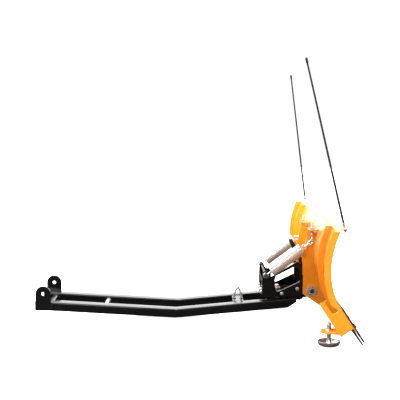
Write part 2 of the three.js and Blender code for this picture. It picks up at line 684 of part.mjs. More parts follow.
// A rod on a threaded base that stands through the top lip, with a nut under the lip.
SIDES.forEach(({ name, sign }) => {
  const lean = -THREE.MathUtils.degToRad(MARKER_LEAN[name]);
  const stand = (geometry) => geometry.rotateY(lean).translate(TOP.x + 14, sign * MARKER_Y, LIP_Z - SKIN / 2);
  const rod = [[0, 24], [4.5, 24], [3.6, MARKER_LENGTH - 22], [5, MARKER_LENGTH - 21], [4.4, MARKER_LENGTH],
    [0, MARKER_LENGTH]];
  const rodGeometry = new THREE.LatheGeometry(rod.map(([r, h]) => new THREE.Vector2(r, h)), 12);
  const base = [[0, 4], [8, 4], [8, 9], [6, 9], [6, 24 - GAP], [0, 24 - GAP]];
  const baseGeometry = new THREE.LatheGeometry(base.map(([r, h]) => new THREE.Vector2(r, h)), 16);
  add(`${name}_marker_rod`, stand(rodGeometry.rotateX(Math.PI / 2)), blackPlastic);
  add(`${name}_marker_base`, stand(baseGeometry.rotateX(Math.PI / 2)), zinc);
  add(`${name}_marker_nut`, stand(barZ(0, 0, 8, -18, -4, 12)), zinc);
});

export default plow;
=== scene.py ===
# %% [markdown]
# # A snow plow blade for a quad bike
# A curved orange blade stands at the end of a black push frame. Between them a yoke swings
# left and right on a kingpin, and the blade trips forward against two springs when it meets
# a stone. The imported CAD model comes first: it fixes where every part is and how it moves,
# and everything below is shaped and finished round it, in metres.

# %% Load the frame
import json
import math

import bmesh
import bpy
from mathutils import Matrix, Vector


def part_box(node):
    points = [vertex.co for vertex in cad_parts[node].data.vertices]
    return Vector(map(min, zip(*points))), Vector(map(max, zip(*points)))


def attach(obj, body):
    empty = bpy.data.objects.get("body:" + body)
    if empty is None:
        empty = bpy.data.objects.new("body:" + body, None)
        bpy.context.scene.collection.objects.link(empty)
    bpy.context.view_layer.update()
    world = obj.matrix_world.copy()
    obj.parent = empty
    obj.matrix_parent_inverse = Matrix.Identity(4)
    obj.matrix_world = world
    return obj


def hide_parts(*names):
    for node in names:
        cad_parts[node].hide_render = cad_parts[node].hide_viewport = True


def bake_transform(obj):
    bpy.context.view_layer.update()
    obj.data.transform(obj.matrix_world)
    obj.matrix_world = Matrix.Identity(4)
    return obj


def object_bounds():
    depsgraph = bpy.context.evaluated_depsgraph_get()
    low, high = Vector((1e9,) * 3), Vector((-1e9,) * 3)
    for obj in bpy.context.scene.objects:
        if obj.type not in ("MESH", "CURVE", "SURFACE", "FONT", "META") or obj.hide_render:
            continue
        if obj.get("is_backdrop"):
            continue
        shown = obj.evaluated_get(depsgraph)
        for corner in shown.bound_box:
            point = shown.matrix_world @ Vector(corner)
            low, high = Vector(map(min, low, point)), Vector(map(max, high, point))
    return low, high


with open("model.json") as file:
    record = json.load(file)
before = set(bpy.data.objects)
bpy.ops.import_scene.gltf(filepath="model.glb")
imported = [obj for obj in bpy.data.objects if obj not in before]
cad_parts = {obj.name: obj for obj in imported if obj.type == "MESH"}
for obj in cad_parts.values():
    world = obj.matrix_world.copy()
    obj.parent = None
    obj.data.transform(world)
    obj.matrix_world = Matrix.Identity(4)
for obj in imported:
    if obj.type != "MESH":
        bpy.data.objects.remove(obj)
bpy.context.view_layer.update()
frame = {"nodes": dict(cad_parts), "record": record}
scene = bpy.context.scene
MM = 0.001
SIDES = {"right": -1, "left": 1}

# %% [markdown]
# ## Camera
# The plow is looked at square from its right side, from a little above the markers' middle.
# A 74 mm lens nearly four metres away keeps the perspective calm, so the far rail and the
# far spring show just above the near ones.

# %% Camera
lens = bpy.data.cameras.new("side_view")
lens.lens = 74.43
lens.sensor_width = 36
camera = bpy.data.objects.new("side_view", lens)
camera.location = (0.0727, -3.84, 0.867)
looking = Vector((-0.0060, 0.99611, -0.08793))
camera.rotation_euler = looking.to_track_quat("-Z", "Y").to_euler()
scene.collection.objects.link(camera)
scene.camera = camera
print("camera stands at", tuple(camera.location))

# %% [markdown]
# ## Light and floor
# A product studio is a white sweep: the wall behind is bright, the room on the camera's side
# is dim. Black gloss then stays black on its upright faces, while its level faces pick up the
# wall at a low angle as a white band. The world holds that wall as a gradient of direction,
# four soft lamps draw the edges, and a narrow spot lifts the far end of the crest.

# %% World
scene.view_settings.view_transform = "Standard"
room = bpy.data.worlds.new("white_sweep")
room.use_nodes = True
scene.world = room
tree = room.node_tree
tree.nodes.clear()
direction = tree.nodes.new("ShaderNodeTexCoord")
split = tree.nodes.new("ShaderNodeSeparateXYZ")
wall = tree.nodes.new("ShaderNodeMapRange")
wall.inputs["From Min"].default_value = -0.35
wall.inputs["From Max"].default_value = 0.55
wall.inputs["To Min"].default_value = 0.10
wall.inputs["To Max"].default_value = 2.3
ceiling = tree.nodes.new("ShaderNodeMapRange")
ceiling.inputs["From Min"].default_value = 0.2
ceiling.inputs["From Max"].default_value = 1.0
ceiling.inputs["To Min"].default_value = 0.0
ceiling.inputs["To Max"].default_value = 0.7
both = tree.nodes.new("ShaderNodeMath")
seen = tree.nodes.new("ShaderNodeLightPath")
choose = tree.nodes.new("ShaderNodeMix")
choose.inputs["B"].default_value = 1.05
sky = tree.nodes.new("ShaderNodeBackground")
sky.inputs["Color"].default_value = (1.0, 1.0, 1.0, 1)
result = tree.nodes.new("ShaderNodeOutputWorld")
tree.links.new(direction.outputs["Generated"], split.inputs["Vector"])
tree.links.new(split.outputs["Y"], wall.inputs["Value"])
tree.links.new(split.outputs["Z"], ceiling.inputs["Value"])
tree.links.new(wall.outputs["Result"], both.inputs[0])
tree.links.new(ceiling.outputs["Result"], both.inputs[1])
tree.links.new(seen.outputs["Is Camera Ray"], choose.inputs["Factor"])
tree.links.new(both.outputs["Value"], choose.inputs["A"])
tree.links.new(choose.outputs["Result"], sky.inputs["Strength"])
tree.links.new(sky.outputs["Background"], result.inputs["Surface"])
print("world built with", len(tree.nodes), "nodes")


# %% Lamps
def soft_lamp(name, place, target, size, power, tint=(1, 1, 1)):
    data = bpy.data.lights.new(name, "AREA")
    data.shape = "RECTANGLE"
    data.size, data.size_y = size
    data.energy = power
    data.color = tint
    lamp = bpy.data.objects.new(name, data)
    lamp.location = place
    lamp.rotation_euler = (Vector(target) - Vector(place)).to_track_quat("-Z", "Y").to_euler()
    scene.collection.objects.link(lamp)
    return lamp


soft_lamp("key_lamp", (1.9, -3.0, 1.9), (0.55, 0, 0.2), (1.6, 1.2), 112, (1.0, 0.98, 0.94))
soft_lamp("fill_lamp", (-0.9, -3.0, 1.2), (0.5, 0, 0.2), (1.2, 1.0), 48, (0.97, 0.99, 1.0))
soft_lamp("top_lamp", (-0.6, 0.9, 2.6), (0.3, 0, 0.1), (2.6, 1.6), 70)
soft_lamp("rear_lamp", (-2.4, -0.6, 1.5), (0.5, 0, 0.3), (1.2, 1.2), 32)
CREST_SPOT, CREST_FAR_END = Vector((-1.3, -1.7, 2.3)), Vector((0.60, 0.50, 0.44))
spot_data = bpy.data.lights.new("crest_spot", "SPOT")
spot_data.energy = 750
spot_data.spot_size = math.radians(15)
spot_data.spot_blend = 0.9
spot_data.shadow_soft_size = 0.25
crest_spot = bpy.data.objects.new("crest_spot", spot_data)
crest_spot.location = CREST_SPOT
crest_spot.rotation_euler = (CREST_FAR_END - CREST_SPOT).to_track_quat("-Z", "Y").to_euler()
scene.collection.objects.link(crest_spot)


# %% [markdown]
# ## Finishes
# Every finish is a Principled shader whose colour, roughness and bump come from noise read on
# Object coordinates. Effects that several finishes share are node groups, built once:
# rubbed edges, dust on level faces, the ripple of powder coat, and the streaks of drawn steel.
# A few short helpers keep the building of nodes readable.

# %% Node helpers
def new_group(name, inputs, outputs):
    group = bpy.data.node_groups.new(name, "ShaderNodeTree")
    for label, kind, value in inputs:
        socket = group.interface.new_socket(label, in_out="INPUT", socket_type=kind)
        socket.default_value = value
    for label, kind in outputs:
        group.interface.new_socket(label, in_out="OUTPUT", socket_type=kind)
    return group, group.nodes.new("NodeGroupInput"), group.nodes.new("NodeGroupOutput")


def node(tree, kind, settings=None, **values):
    made = tree.nodes.new(kind)
    for key, value in (settings or {}).items():
        setattr(made, key, value)
    for key, value in values.items():
        made.inputs[key.replace("_", " ")].default_value = value
    return made


def maths(tree, operation, first, second):
    made = node(tree, "ShaderNodeMath", {"operation": operation})
    for slot, value in enumerate((first, second)):
        if isinstance(value, (int, float)):
            made.inputs[slot].default_value = value
        else:
            tree.links.new(value, made.inputs[slot])
    return made.outputs["Value"]


def stretch(tree, value, low, high, new_low=0.0, new_high=1.0):
    made = node(tree, "ShaderNodeMapRange", None,
                From_Min=low, From_Max=high, To_Min=new_low, To_Max=new_high)
    tree.links.new(value, made.inputs["Value"])
    return made.outputs["Result"]


FLOAT, VECTOR = "NodeSocketFloat", "NodeSocketVector"

# %% [markdown]
# ### Rubbed edges
# Paint goes first where something rubs: on outside edges. The Bevel node looks a little way
# round and gives the normal of a rounded edge, so where it differs from the flat normal there
# is an edge. Ambient Occlusion leaves out the inside corners, and noise breaks up the line.

# %% Rubbed edges
rubbed, g_in, g_out = new_group(
    "rubbed_edges",
    [("Reach", FLOAT, 0.0015), ("Amount", FLOAT, 0.5), ("Grain", FLOAT, 90.0)],
    [("Mask", FLOAT)])
round_off = node(rubbed, "ShaderNodeBevel", {"samples": 4})
here = node(rubbed, "ShaderNodeNewGeometry")
turned_by = node(rubbed, "ShaderNodeVectorMath", {"operation": "DOT_PRODUCT"})
open_air = node(rubbed, "ShaderNodeAmbientOcclusion", {"samples": 4, "only_local": True},
                Distance=0.006)
spot = node(rubbed, "ShaderNodeTexCoord")
breakup = node(rubbed, "ShaderNodeTexNoise", None, Detail=4.0, Roughness=0.6)
rubbed.links.new(g_in.outputs["Reach"], round_off.inputs["Radius"])
rubbed.links.new(round_off.outputs["Normal"], turned_by.inputs[0])
rubbed.links.new(here.outputs["Normal"], turned_by.inputs[1])
rubbed.links.new(spot.outputs["Object"], breakup.inputs["Vector"])
rubbed.links.new(g_in.outputs["Grain"], breakup.inputs["Scale"])
edge = stretch(rubbed, turned_by.outputs["Value"], 0.995, 0.93)
outside = stretch(rubbed, open_air.outputs["AO"], 0.8, 0.95)
patches = stretch(rubbed, breakup.outputs["Fac"], 0.48, 0.62)
mask = maths(rubbed, "MULTIPLY", maths(rubbed, "MULTIPLY", edge, outside), patches)
rubbed.links.new(maths(rubbed, "MULTIPLY", mask, g_in.outputs["Amount"]), g_out.inputs["Mask"])
print("group", rubbed.name, "has", len(rubbed.nodes), "nodes")

# %% [markdown]
# ### Dust
# Fine dust lies on faces that look up, thicker in soft patches.

# %% Dust
dusty, g_in, g_out = new_group(
    "settled_dust", [("Amount", FLOAT, 0.2), ("Scale", FLOAT, 14.0)], [("Mask", FLOAT)])
here = node(dusty, "ShaderNodeNewGeometry")
upward = node(dusty, "ShaderNodeSeparateXYZ")
spot = node(dusty, "ShaderNodeTexCoord")
clouds = node(dusty, "ShaderNodeTexNoise", None, Detail=6.0, Roughness=0.65)
dusty.links.new(here.outputs["Normal"], upward.inputs["Vector"])
dusty.links.new(spot.outputs["Object"], clouds.inputs["Vector"])
dusty.links.new(g_in.outputs["Scale"], clouds.inputs["Scale"])
level = stretch(dusty, upward.outputs["Z"], 0.3, 1.0)
thick = stretch(dusty, clouds.outputs["Fac"], 0.35, 0.75)
dust_mask = maths(dusty, "MULTIPLY", level, thick)
dusty.links.new(maths(dusty, "MULTIPLY", dust_mask, g_in.outputs["Amount"]), g_out.inputs["Mask"])
print("group", dusty.name, "has", len(dusty.nodes), "nodes")

# %% [markdown]
# ### Powder-coat ripple
# Powder melts into a film that is never quite flat: a soft ripple two or three millimetres
# across, on longer, lazier waves. The same noise shifts the tone and the gloss a little.

# %% Powder-coat ripple
ripple, g_in, g_out = new_group(
    "coat_ripple", [("Size", FLOAT, 380.0), ("Cloud Size", FLOAT, 7.0)],
    [("Height", FLOAT), ("Cloud", FLOAT)])
spot = node(ripple, "ShaderNodeTexCoord")
fine = node(ripple, "ShaderNodeTexNoise", None, Detail=2.0, Roughness=0.5)
lazy = node(ripple, "ShaderNodeTexNoise", None, Detail=5.0, Roughness=0.6)
ripple.links.new(spot.outputs["Object"], fine.inputs["Vector"])
ripple.links.new(spot.outputs["Object"], lazy.inputs["Vector"])
ripple.links.new(g_in.outputs["Size"], fine.inputs["Scale"])
ripple.links.new(g_in.outputs["Cloud Size"], lazy.inputs["Scale"])
low_wave = maths(ripple, "MULTIPLY", lazy.outputs["Fac"], 0.35)
ripple.links.new(maths(ripple, "ADD", fine.outputs["Fac"], low_wave), g_out.inputs["Height"])
ripple.links.new(lazy.outputs["Fac"], g_out.inputs["Cloud"])
print("group", ripple.name, "has", len(ripple.nodes), "nodes")

# %% [markdown]
# ### Drawn-steel streaks
# Rolled and drawn steel carries fine lines along its length, and scuffs across them.
# Stretching the coordinates before the noise turns its dots into lines.

# %% Drawn-steel streaks
streaks, g_in, g_out = new_group(
    "steel_streaks", [("Stretch", VECTOR, (60.0, 900.0, 900.0)), ("Scuff Size", FLOAT, 60.0)],
    [("Streak", FLOAT), ("Scuff", FLOAT)])
spot = node(streaks, "ShaderNodeTexCoord")
pull = node(streaks, "ShaderNodeVectorMath", {"operation": "MULTIPLY"})
lines = node(streaks, "ShaderNodeTexNoise", None, Scale=1.0, Detail=3.0)
scuffs = node(streaks, "ShaderNodeTexNoise", None, Detail=6.0, Roughness=0.7, Distortion=0.8)
streaks.links.new(spot.outputs["Object"], pull.inputs[0])
streaks.links.new(g_in.outputs["Stretch"], pull.inputs[1])
streaks.links.new(pull.outputs["Vector"], lines.inputs["Vector"])
streaks.links.new(spot.outputs["Object"], scuffs.inputs["Vector"])
streaks.links.new(g_in.outputs["Scuff Size"], scuffs.inputs["Scale"])
streaks.links.new(lines.outputs["Fac"], g_out.inputs["Streak"])
streaks.links.new(scuffs.outputs["Fac"], g_out.inputs["Scuff"])
print("group", streaks.name, "has", len(streaks.nodes), "nodes")


# %% [markdown]
# ### Paints
# Black and orange powder coat share one recipe: a base tone that drifts with the clouds, dust
# on top, and bare steel where an edge is rubbed through. A thin clear coat gives the sharp
# highlight over the softer colour below it.

# %% Paint recipe
def start_finish(name):
    finish = bpy.data.materials.new(name)
    finish.use_nodes = True
    tree = finish.node_tree
    tree.nodes.clear()
    shader = tree.nodes.new("ShaderNodeBsdfPrincipled")
    surface = tree.nodes.new("ShaderNodeOutputMaterial")
    tree.links.new(shader.outputs["BSDF"], surface.inputs["Surface"])
    return finish, tree, shader


def use_group(tree, group, **values):
    placed = tree.nodes.new("ShaderNodeGroup")
    placed.node_tree = group
    for key, value in values.items():
        placed.inputs[key.replace("_", " ")].default_value = value
    return placed


def blend_colour(tree, factor, first, second):
    mix = node(tree, "ShaderNodeMix", {"data_type": "RGBA"})
    tree.links.new(factor, mix.inputs["Factor"])
    for socket, value in ((mix.inputs[6], first), (mix.inputs[7], second)):
        if isinstance(value, tuple):
            socket.default_value = (*value, 1)
        else:
            tree.links.new(value, socket)
    return mix.outputs[2]


def add_bump(tree, shader, height, strength, distance):
    bump = node(tree, "ShaderNodeBump", None, Strength=strength, Distance=distance)
    tree.links.new(height, bump.inputs["Height"])
    tree.links.new(bump.outputs["Normal"], shader.inputs["Normal"])


STEEL = (0.42, 0.41, 0.39)
DUST = (0.36, 0.34, 0.31)


def powder_coat(name, deep, light, gloss, dust, rub, coat=0.5):
    finish, tree, shader = start_finish(name)
    film = use_group(tree, ripple)
    edges = use_group(tree, rubbed, Amount=rub)
    haze = use_group(tree, dusty, Amount=dust)
    cloud = stretch(tree, film.outputs["Cloud"], 0.3, 0.7)
    tone = blend_colour(tree, cloud, deep, light)
    tone = blend_colour(tree, haze.outputs["Mask"], tone, DUST)
    tone = blend_colour(tree, edges.outputs["Mask"], tone, STEEL)
    tree.links.new(tone, shader.inputs["Base Color"])
    shine = stretch(tree, film.outputs["Cloud"], 0.3, 0.7, gloss[0], gloss[1])
    shine = maths(tree, "ADD", shine, maths(tree, "MULTIPLY", haze.outputs["Mask"], 0.5))
    tree.links.new(shine, shader.inputs["Roughness"])
    tree.links.new(edges.outputs["Mask"], shader.inputs["Metallic"])
    shader.inputs["Coat Weight"].default_value = coat
    shader.inputs["Coat Roughness"].default_value = 0.06
    add_bump(tree, shader, film.outputs["Height"], 0.12, 0.0004)
    return finish, shader


black_coat, shader = powder_coat(
    "black_powder_coat", (0.0014, 0.0014, 0.0017), (0.0032, 0.0030, 0.0028), (0.14, 0.24), 0.008, 0.3,
    coat=0.15)
shader.inputs["Specular IOR Level"].default_value = 0.3
orange_coat, shader = powder_coat(
    "orange_powder_coat", (0.87, 0.275, 0.009), (0.96, 0.335, 0.014), (0.24, 0.34), 0.05, 0.25)
print("paints:", black_coat.name, orange_coat.name)


# %% [markdown]
# ### Metals and plastic
# Zinc plate is bright with a faint patchwork of crystals. Spring wire is polished by winding.
# The wear bars are hot-rolled: near-black scale with brighter scuffs. The shoes are cast, with
# a sandy skin. Caps, grip and markers are dull black plastic with a fine moulded grain.

# %% Metals and plastic
def bare_metal(name, dark, bright, rough, stretching, bump, scuff_size=60.0, metallic=1.0):
    finish, tree, shader = start_finish(name)
    drawn = use_group(tree, streaks, Scuff_Size=scuff_size)
    drawn.inputs["Stretch"].default_value = stretching
    scuff = stretch(tree, drawn.outputs["Scuff"], 0.35, 0.7)
    tone = blend_colour(tree, scuff, dark, bright)
    haze = use_group(tree, dusty, Amount=0.12, Scale=40.0)
    tone = blend_colour(tree, haze.outputs["Mask"], tone, DUST)
    tree.links.new(tone, shader.inputs["Base Color"])
    tree.links.new(stretch(tree, drawn.outputs["Streak"], 0.3, 0.7, *rough),
                   shader.inputs["Roughness"])
    shader.inputs["Metallic"].default_value = metallic
    add_bump(tree, shader, drawn.outputs["Streak"], *bump)
    return finish, tree, shader


zinc_plate, tree, shader = bare_metal(
    "zinc_plate", (0.60, 0.60, 0.61), (0.78, 0.78, 0.79), (0.18, 0.32), (500.0, 500.0, 160.0),
    (0.08, 0.0003), 160.0, 0.8)
spring_wire, tree, shader = bare_metal(
    "polished_spring_wire", (0.66, 0.66, 0.67), (0.82, 0.82, 0.83), (0.22, 0.34),
    (700.0, 160.0, 700.0), (0.05, 0.0002), 120.0, 0.6)
rolled_steel, tree, shader = bare_metal(
    "hot_rolled_steel", (0.016, 0.014, 0.013), (0.05, 0.045, 0.042), (0.32, 0.55),
    (240.0, 30.0, 240.0), (0.25, 0.0006), 35.0, 0.6)
edge_rub = use_group(tree, rubbed, Amount=0.8, Grain=45.0, Reach=0.003)
old_tone = shader.inputs["Base Color"].links[0].from_socket
tree.links.new(blend_colour(tree, edge_rub.outputs["Mask"], old_tone, STEEL),
               shader.inputs["Base Color"])
cast_iron, tree, shader = bare_metal(
    "cast_shoe_steel", (0.40, 0.39, 0.37), (0.62, 0.60, 0.57), (0.28, 0.46),
    (320.0, 320.0, 320.0), (0.35, 0.0006), 45.0)
black_plastic, tree, shader = bare_metal(
    "moulded_black_plastic", (0.003, 0.003, 0.003), (0.008, 0.0075, 0.007), (0.34, 0.5),
    (900.0, 900.0, 900.0), (0.15, 0.0003), 30.0, 0.0)
shader.inputs["Specular IOR Level"].default_value = 0.25
FINISHES = {
    "black_paint": black_coat, "orange_paint": orange_coat, "zinc": zinc_plate,
    "spring_steel": spring_wire, "dark_steel": rolled_steel, "cast_steel": cast_iron,
    "black_plastic": black_plastic,
}
print("finishes:", sorted(FINISHES))

# %% [markdown]
# ### Floor
# The sheet is pale where it is looked at, and gives off nearly enough light of its own to
# swallow every shadow, as a sheet lit from below does. What the parts mirror, and what lights
# them from beneath, is a dark felt instead: a studio lays dark cloth in front of chrome and
# black gloss, or their lower halves wash out. Light Path tells the two uses apart.

# %% Floor
floor_finish, tree, shader = start_finish("pale_floor")
spot = node(tree, "ShaderNodeTexCoord")
paper = node(tree, "ShaderNodeTexNoise", None, Scale=3.0, Detail=5.0)
tree.links.new(spot.outputs["Object"], paper.inputs["Vector"])
tree.links.new(blend_colour(tree, paper.outputs["Fac"], (0.90, 0.90, 0.90), (0.94, 0.94, 0.94)),
               shader.inputs["Base Color"])
shader.inputs["Roughness"].default_value = 0.9
shader.inputs["Specular IOR Level"].default_value = 0.1
shader.inputs["Emission Color"].default_value = (1, 1, 1, 1)
shader.inputs["Emission Strength"].default_value = 0.9
felt = node(tree, "ShaderNodeBsdfDiffuse", None, Color=(0.07, 0.068, 0.065, 1))
seen = node(tree, "ShaderNodeLightPath")
floor_mix = node(tree, "ShaderNodeMixShader")
tree.links.new(seen.outputs["Is Camera Ray"], floor_mix.inputs["Fac"])
tree.links.new(felt.outputs["BSDF"], floor_mix.inputs[1])
tree.links.new(shader.outputs["BSDF"], floor_mix.inputs[2])
tree.links.new(floor_mix.outputs["Shader"], tree.nodes["Material Output"].inputs["Surface"])
sheet = bpy.data.meshes.new("studio_floor")
reach = 14.0
sheet.from_pydata([(-reach, -reach, -0.0015), (reach, -reach, -0.0015), (reach, reach, -0.0015),
                   (-reach, reach, -0.0015)], [], [(0, 1, 2, 3)])
sheet.materials.append(floor_finish)
studio_floor = bpy.data.objects.new("studio_floor", sheet)
scene.collection.objects.link(studio_floor)
studio_floor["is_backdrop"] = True
print("floor is", 2 * reach, "m wide")


# %% [markdown]
# ## Shaping helpers
# Three shapes cover nearly everything on a welded machine: stacks of rings for what is turned
# or hexagonal, a round bar swept along a path for bent wire, and finished copies of the CAD
# plates with their edges eased. `hand_over` gives each piece to the body it moves with.

# %% Rings
def join_rings(bm, rings, place, through=False):
    """Connects rings of points; the ends close on a pole, or on each other for a bored part."""
    rows = [[bm.verts.new(place @ Vector(p)) for p in ring] for ring in rings]
    count = len(rows[0])
    pairs = list(zip(rows, rows[1:]))
    if through:
        pairs.append((rows[-1], rows[0]))
    for low, high in pairs:
        for i in range(count):
            j = (i + 1) % count
            bm.faces.new((low[i], low[j], high[j], high[i]))
    if not through:
        for row in (rows[0], rows[-1]):
            bm.faces.new(row)


def turned(bm, profile, place, sides=48, through=False):
    """A lathe-turned part: profile is (radius, height) in millimetres, outside upwards."""
    rings = []
    for radius, height in profile:
        rings.append([(radius * MM * math.cos(2 * math.pi * i / sides),
                       radius * MM * math.sin(2 * math.pi * i / sides), height * MM)
                      for i in range(sides)])
    join_rings(bm, rings, place, through)


def hexagon(bm, across, low, high, bore, place):
    """A nut, or a bolt head when bore is 0: flats, and the cone that chamfers its corners."""
    sides = 36
    face = across / 2 * 0.96

    def ring(radius_of, height_of):
        made = []
        for i in range(sides):
            angle = 2 * math.pi * i / sides
            flat = (angle + math.pi / 6) % (math.pi / 3) - math.pi / 6
            corner = across / 2 / math.cos(flat)
            radius, height = radius_of(corner), height_of(corner)
            made.append((radius * MM * math.cos(angle), radius * MM * math.sin(angle), height * MM))
        return made

    def drop(corner):
        return (corner - face) * 0.577

    hole = max(bore, 0.4)
    rings = [ring(lambda c: hole, lambda c: low), ring(lambda c: face, lambda c: low),
             ring(lambda c: c, lambda c: low + drop(c)), ring(lambda c: c, lambda c: high - drop(c)),
             ring(lambda c: face, lambda c: high), ring(lambda c: hole, lambda c: high)]
    join_rings(bm, rings, place, through=bore > 0)


def washer(bm, bore, radius, thickness, place, sides=32, low=0):
    """A flat washer, lying on the place it is given."""
    high = low + thickness
    turned(bm, [(bore, low), (radius, low), (radius, high), (bore, high)], place, sides, through=True)


def thread(radius, low, high, pitch=1.5):
    """The ridges of a screw thread as a turned profile."""
    ridges, height = [], low
    while height < high - pitch:
        ridges += [(radius - 0.55, height), (radius, height + pitch / 2)]
        height += pitch
    return [*ridges, (radius - 0.55, high - 0.8), (radius - 1.4, high)]


# %% Bent bar
def bent_bar(bm, points, radius, place=Matrix(), sides=12, closed=False):
    """Sweeps a round section along points in millimetres, carrying its frame without twist."""
    path = [place @ (Vector(p) * MM) for p in points]
    count = len(path)
    rows, side = [], None
    for i, point in enumerate(path):
        before = path[(i - 1) % count] if closed or i else point
        after = path[(i + 1) % count] if closed or i < count - 1 else point
        along = (after - before).normalized()
        if side is None:
            side = along.orthogonal().normalized()
        side = (side - along * side.dot(along)).normalized()
        up = along.cross(side)
        rows.append([bm.verts.new(point + (side * math.cos(a) + up * math.sin(a)) * radius * MM)
                     for a in (2 * math.pi * k / sides for k in range(sides))])
    pairs = list(zip(rows, rows[1:]))
    shift = 0
    if closed:
        ends = [(rows[-1][0].co - v.co).length for v in rows[0]]
        shift = ends.index(min(ends))
    for low, high in pairs:
        for k in range(sides):
            m = (k + 1) % sides
            bm.faces.new((low[k], low[m], high[m], high[k]))
    if closed:
        for k in range(sides):
            m = (k + 1) % sides
            first = rows[0]
            bm.faces.new((rows[-1][k], rows[-1][m], first[(m + shift) % sides],
                          first[(k + shift) % sides]))
    else:
        for row in (rows[0], rows[-1]):
            bm.faces.new(row)


def smooth_path(corners, steps=6):
    """A Catmull-Rom curve through a few corners."""
    points = [Vector(c) for c in corners]
    points = [2 * points[0] - points[1], *points, 2 * points[-1] - points[-2]]
    made = []
    for a, b, c, d in zip(points, points[1:], points[2:], points[3:]):
        for s in range(steps):
            t = s / steps
            made.append(0.5 * (2 * b + (c - a) * t + (2 * a - 5 * b + 4 * c - d) * t * t
                               + (3 * b - a - 3 * c + d) * t ** 3))
    return [*made, points[-2]]


# %% Handing a piece over
def as_piece(name, bm, finish, sharp=35):
    bmesh.ops.recalc_face_normals(bm, faces=bm.faces)
    mesh = bpy.data.meshes.new(name)
    bm.to_mesh(mesh)
    bm.free()
    mesh.shade_smooth()
    mesh.set_sharp_from_angle(angle=math.radians(sharp))
    mesh.materials.append(FINISHES[finish])
    piece = bpy.data.objects.new(name, mesh)
    scene.collection.objects.link(piece)
    return piece


def hand_over(piece, body, finish, *nodes):
    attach(piece, body)
    if nodes:
        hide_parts(*nodes)
    return piece


def apply_modifiers(piece):
    """Turns a piece with live modifiers into a plain mesh."""
    bpy.context.view_layer.update()
    graph = bpy.context.evaluated_depsgraph_get()
    plain = bpy.data.meshes.new_from_object(piece.evaluated_get(graph))
    piece.modifiers.clear()
    old, piece.data = piece.data, plain
    bpy.data.meshes.remove(old)
    piece.data.name = piece.name
    return piece


BODY_OF = {name: body for body, names in frame["record"]["behaviour"]["bodies"].items()
           for name in names}

# %% [markdown]
# ## Plates, tubes and bars
# The welded parts have their true shape already, but their edges are razor sharp, and a sharp
# edge catches no light. A copy of each one has its loose triangles merged and its flat faces
# joined, then a Bevel eases every corner by a saw-cut's worth. Shading is smooth along curves
# and breaks at real corners. The crease of a rail, where it turns upwards, is kept sharp.


# %% Eased copies
def eased_copy(name, finish, ease=0.7, keep_sharp=None):
    mesh = frame["nodes"][name].data.copy()
    bm = bmesh.new()
    bm.from_mesh(mesh)
    bmesh.ops.remove_doubles(bm, verts=bm.verts, dist=0.00002)
    bmesh.ops.dissolve_limit(bm, angle_limit=math.radians(0.6), verts=bm.verts, edges=bm.edges)
    bm.to_mesh(mesh)
    bm.free()
    mesh.name = name + "_eased"
    mesh.shade_smooth()
    mesh.set_sharp_from_angle(angle=math.radians(30))
    if keep_sharp is not None:
        for line in mesh.edges:
            ends = [mesh.vertices[v].co for v in line.vertices]
            if all(keep_sharp(e) for e in ends):
                line.use_edge_sharp = True
    mesh.materials.clear()
    mesh.materials.append(FINISHES[finish])
    piece = bpy.data.objects.new(name + "_eased", mesh)
    scene.collection.objects.link(piece)
    bevel = piece.modifiers.new("eased_edges", "BEVEL")
    bevel.width = ease * MM
    bevel.segments = 2
    bevel.limit_method = "ANGLE"
    bevel.angle_limit = math.radians(32)
    bevel.harden_normals = True
    apply_modifiers(piece)
    return hand_over(piece, BODY_OF[name], finish, name)


BEND_X = -0.060
for side in SIDES:
    eased_copy(f"{side}_rail", "black_paint", 0.5, lambda p: abs(p.x - BEND_X) < 0.0001)
    eased_copy(f"{side}_rail_cap", "black_plastic", 0.9)
    eased_copy(f"{side}_mount_lug", "black_paint", 1.2)
    eased_copy(f"{side}_yoke_plate", "black_paint", 0.9)
    eased_copy(f"{side}_end_plate", "orange_paint", 0.8)
    eased_copy(f"{side}_side_rib", "orange_paint", 0.8)
    eased_copy(f"{side}_centre_rib", "orange_paint", 0.9)
    eased_copy(f"{side}_spring_shelf", "orange_paint", 0.8)
    eased_copy(f"{side}_skid_bracket", "orange_paint", 1.0)
for name in ("lift_beam", "swivel_plate", "yoke_floor_plate", "yoke_tie_plate", "latch_post"):
    eased_copy(name, "black_paint", 0.8)
eased_copy("moldboard", "orange_paint", 0.5)
eased_copy("wear_bar", "dark_steel", 1.1)
eased_copy("backing_bar", "dark_steel", 1.1)
eased_copy("lock_lever", "black_paint", 0.6)

# %% [markdown]
# ## Cross tubes and turned parts
# The CAD stands in for round parts with many-sided bars. Each is turned again here as a smooth
# profile with the small details a lathe leaves: chamfers, grooves and threads. Positions come
# from the box of the CAD node it replaces.


# %% Cross tubes and pivot tube
def along_y(x, z):
    """A turned part's axis laid along Y."""
    return Matrix.Translation((x, 0, z)) @ Matrix.Rotation(-math.pi / 2, 4, "X")


def middle_of(name):
    low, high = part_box(name)
    return (low + high) / 2, (high - low) / MM


def tube_across(name, wall, finish):
    centre, size = middle_of(name)
    radius, half = size.x / 2, size.y / 2
    bm = bmesh.new()
    profile = [(radius - wall, -half), (radius - 0.6, -half), (radius, -half + 0.6),
               (radius, half - 0.6), (radius - 0.6, half), (radius - wall, half)]
    turned(bm, profile, along_y(centre.x, centre.z), 64, through=True)
    piece = as_piece(name + "_turned", bm, finish)
    return hand_over(piece, BODY_OF[name], finish, name)


tube_across("rear_cross_tube", 3, "black_paint")
tube_across("middle_cross_tube", 2.5, "zinc")
tube_across("pivot_tube", 6.7, "black_paint")

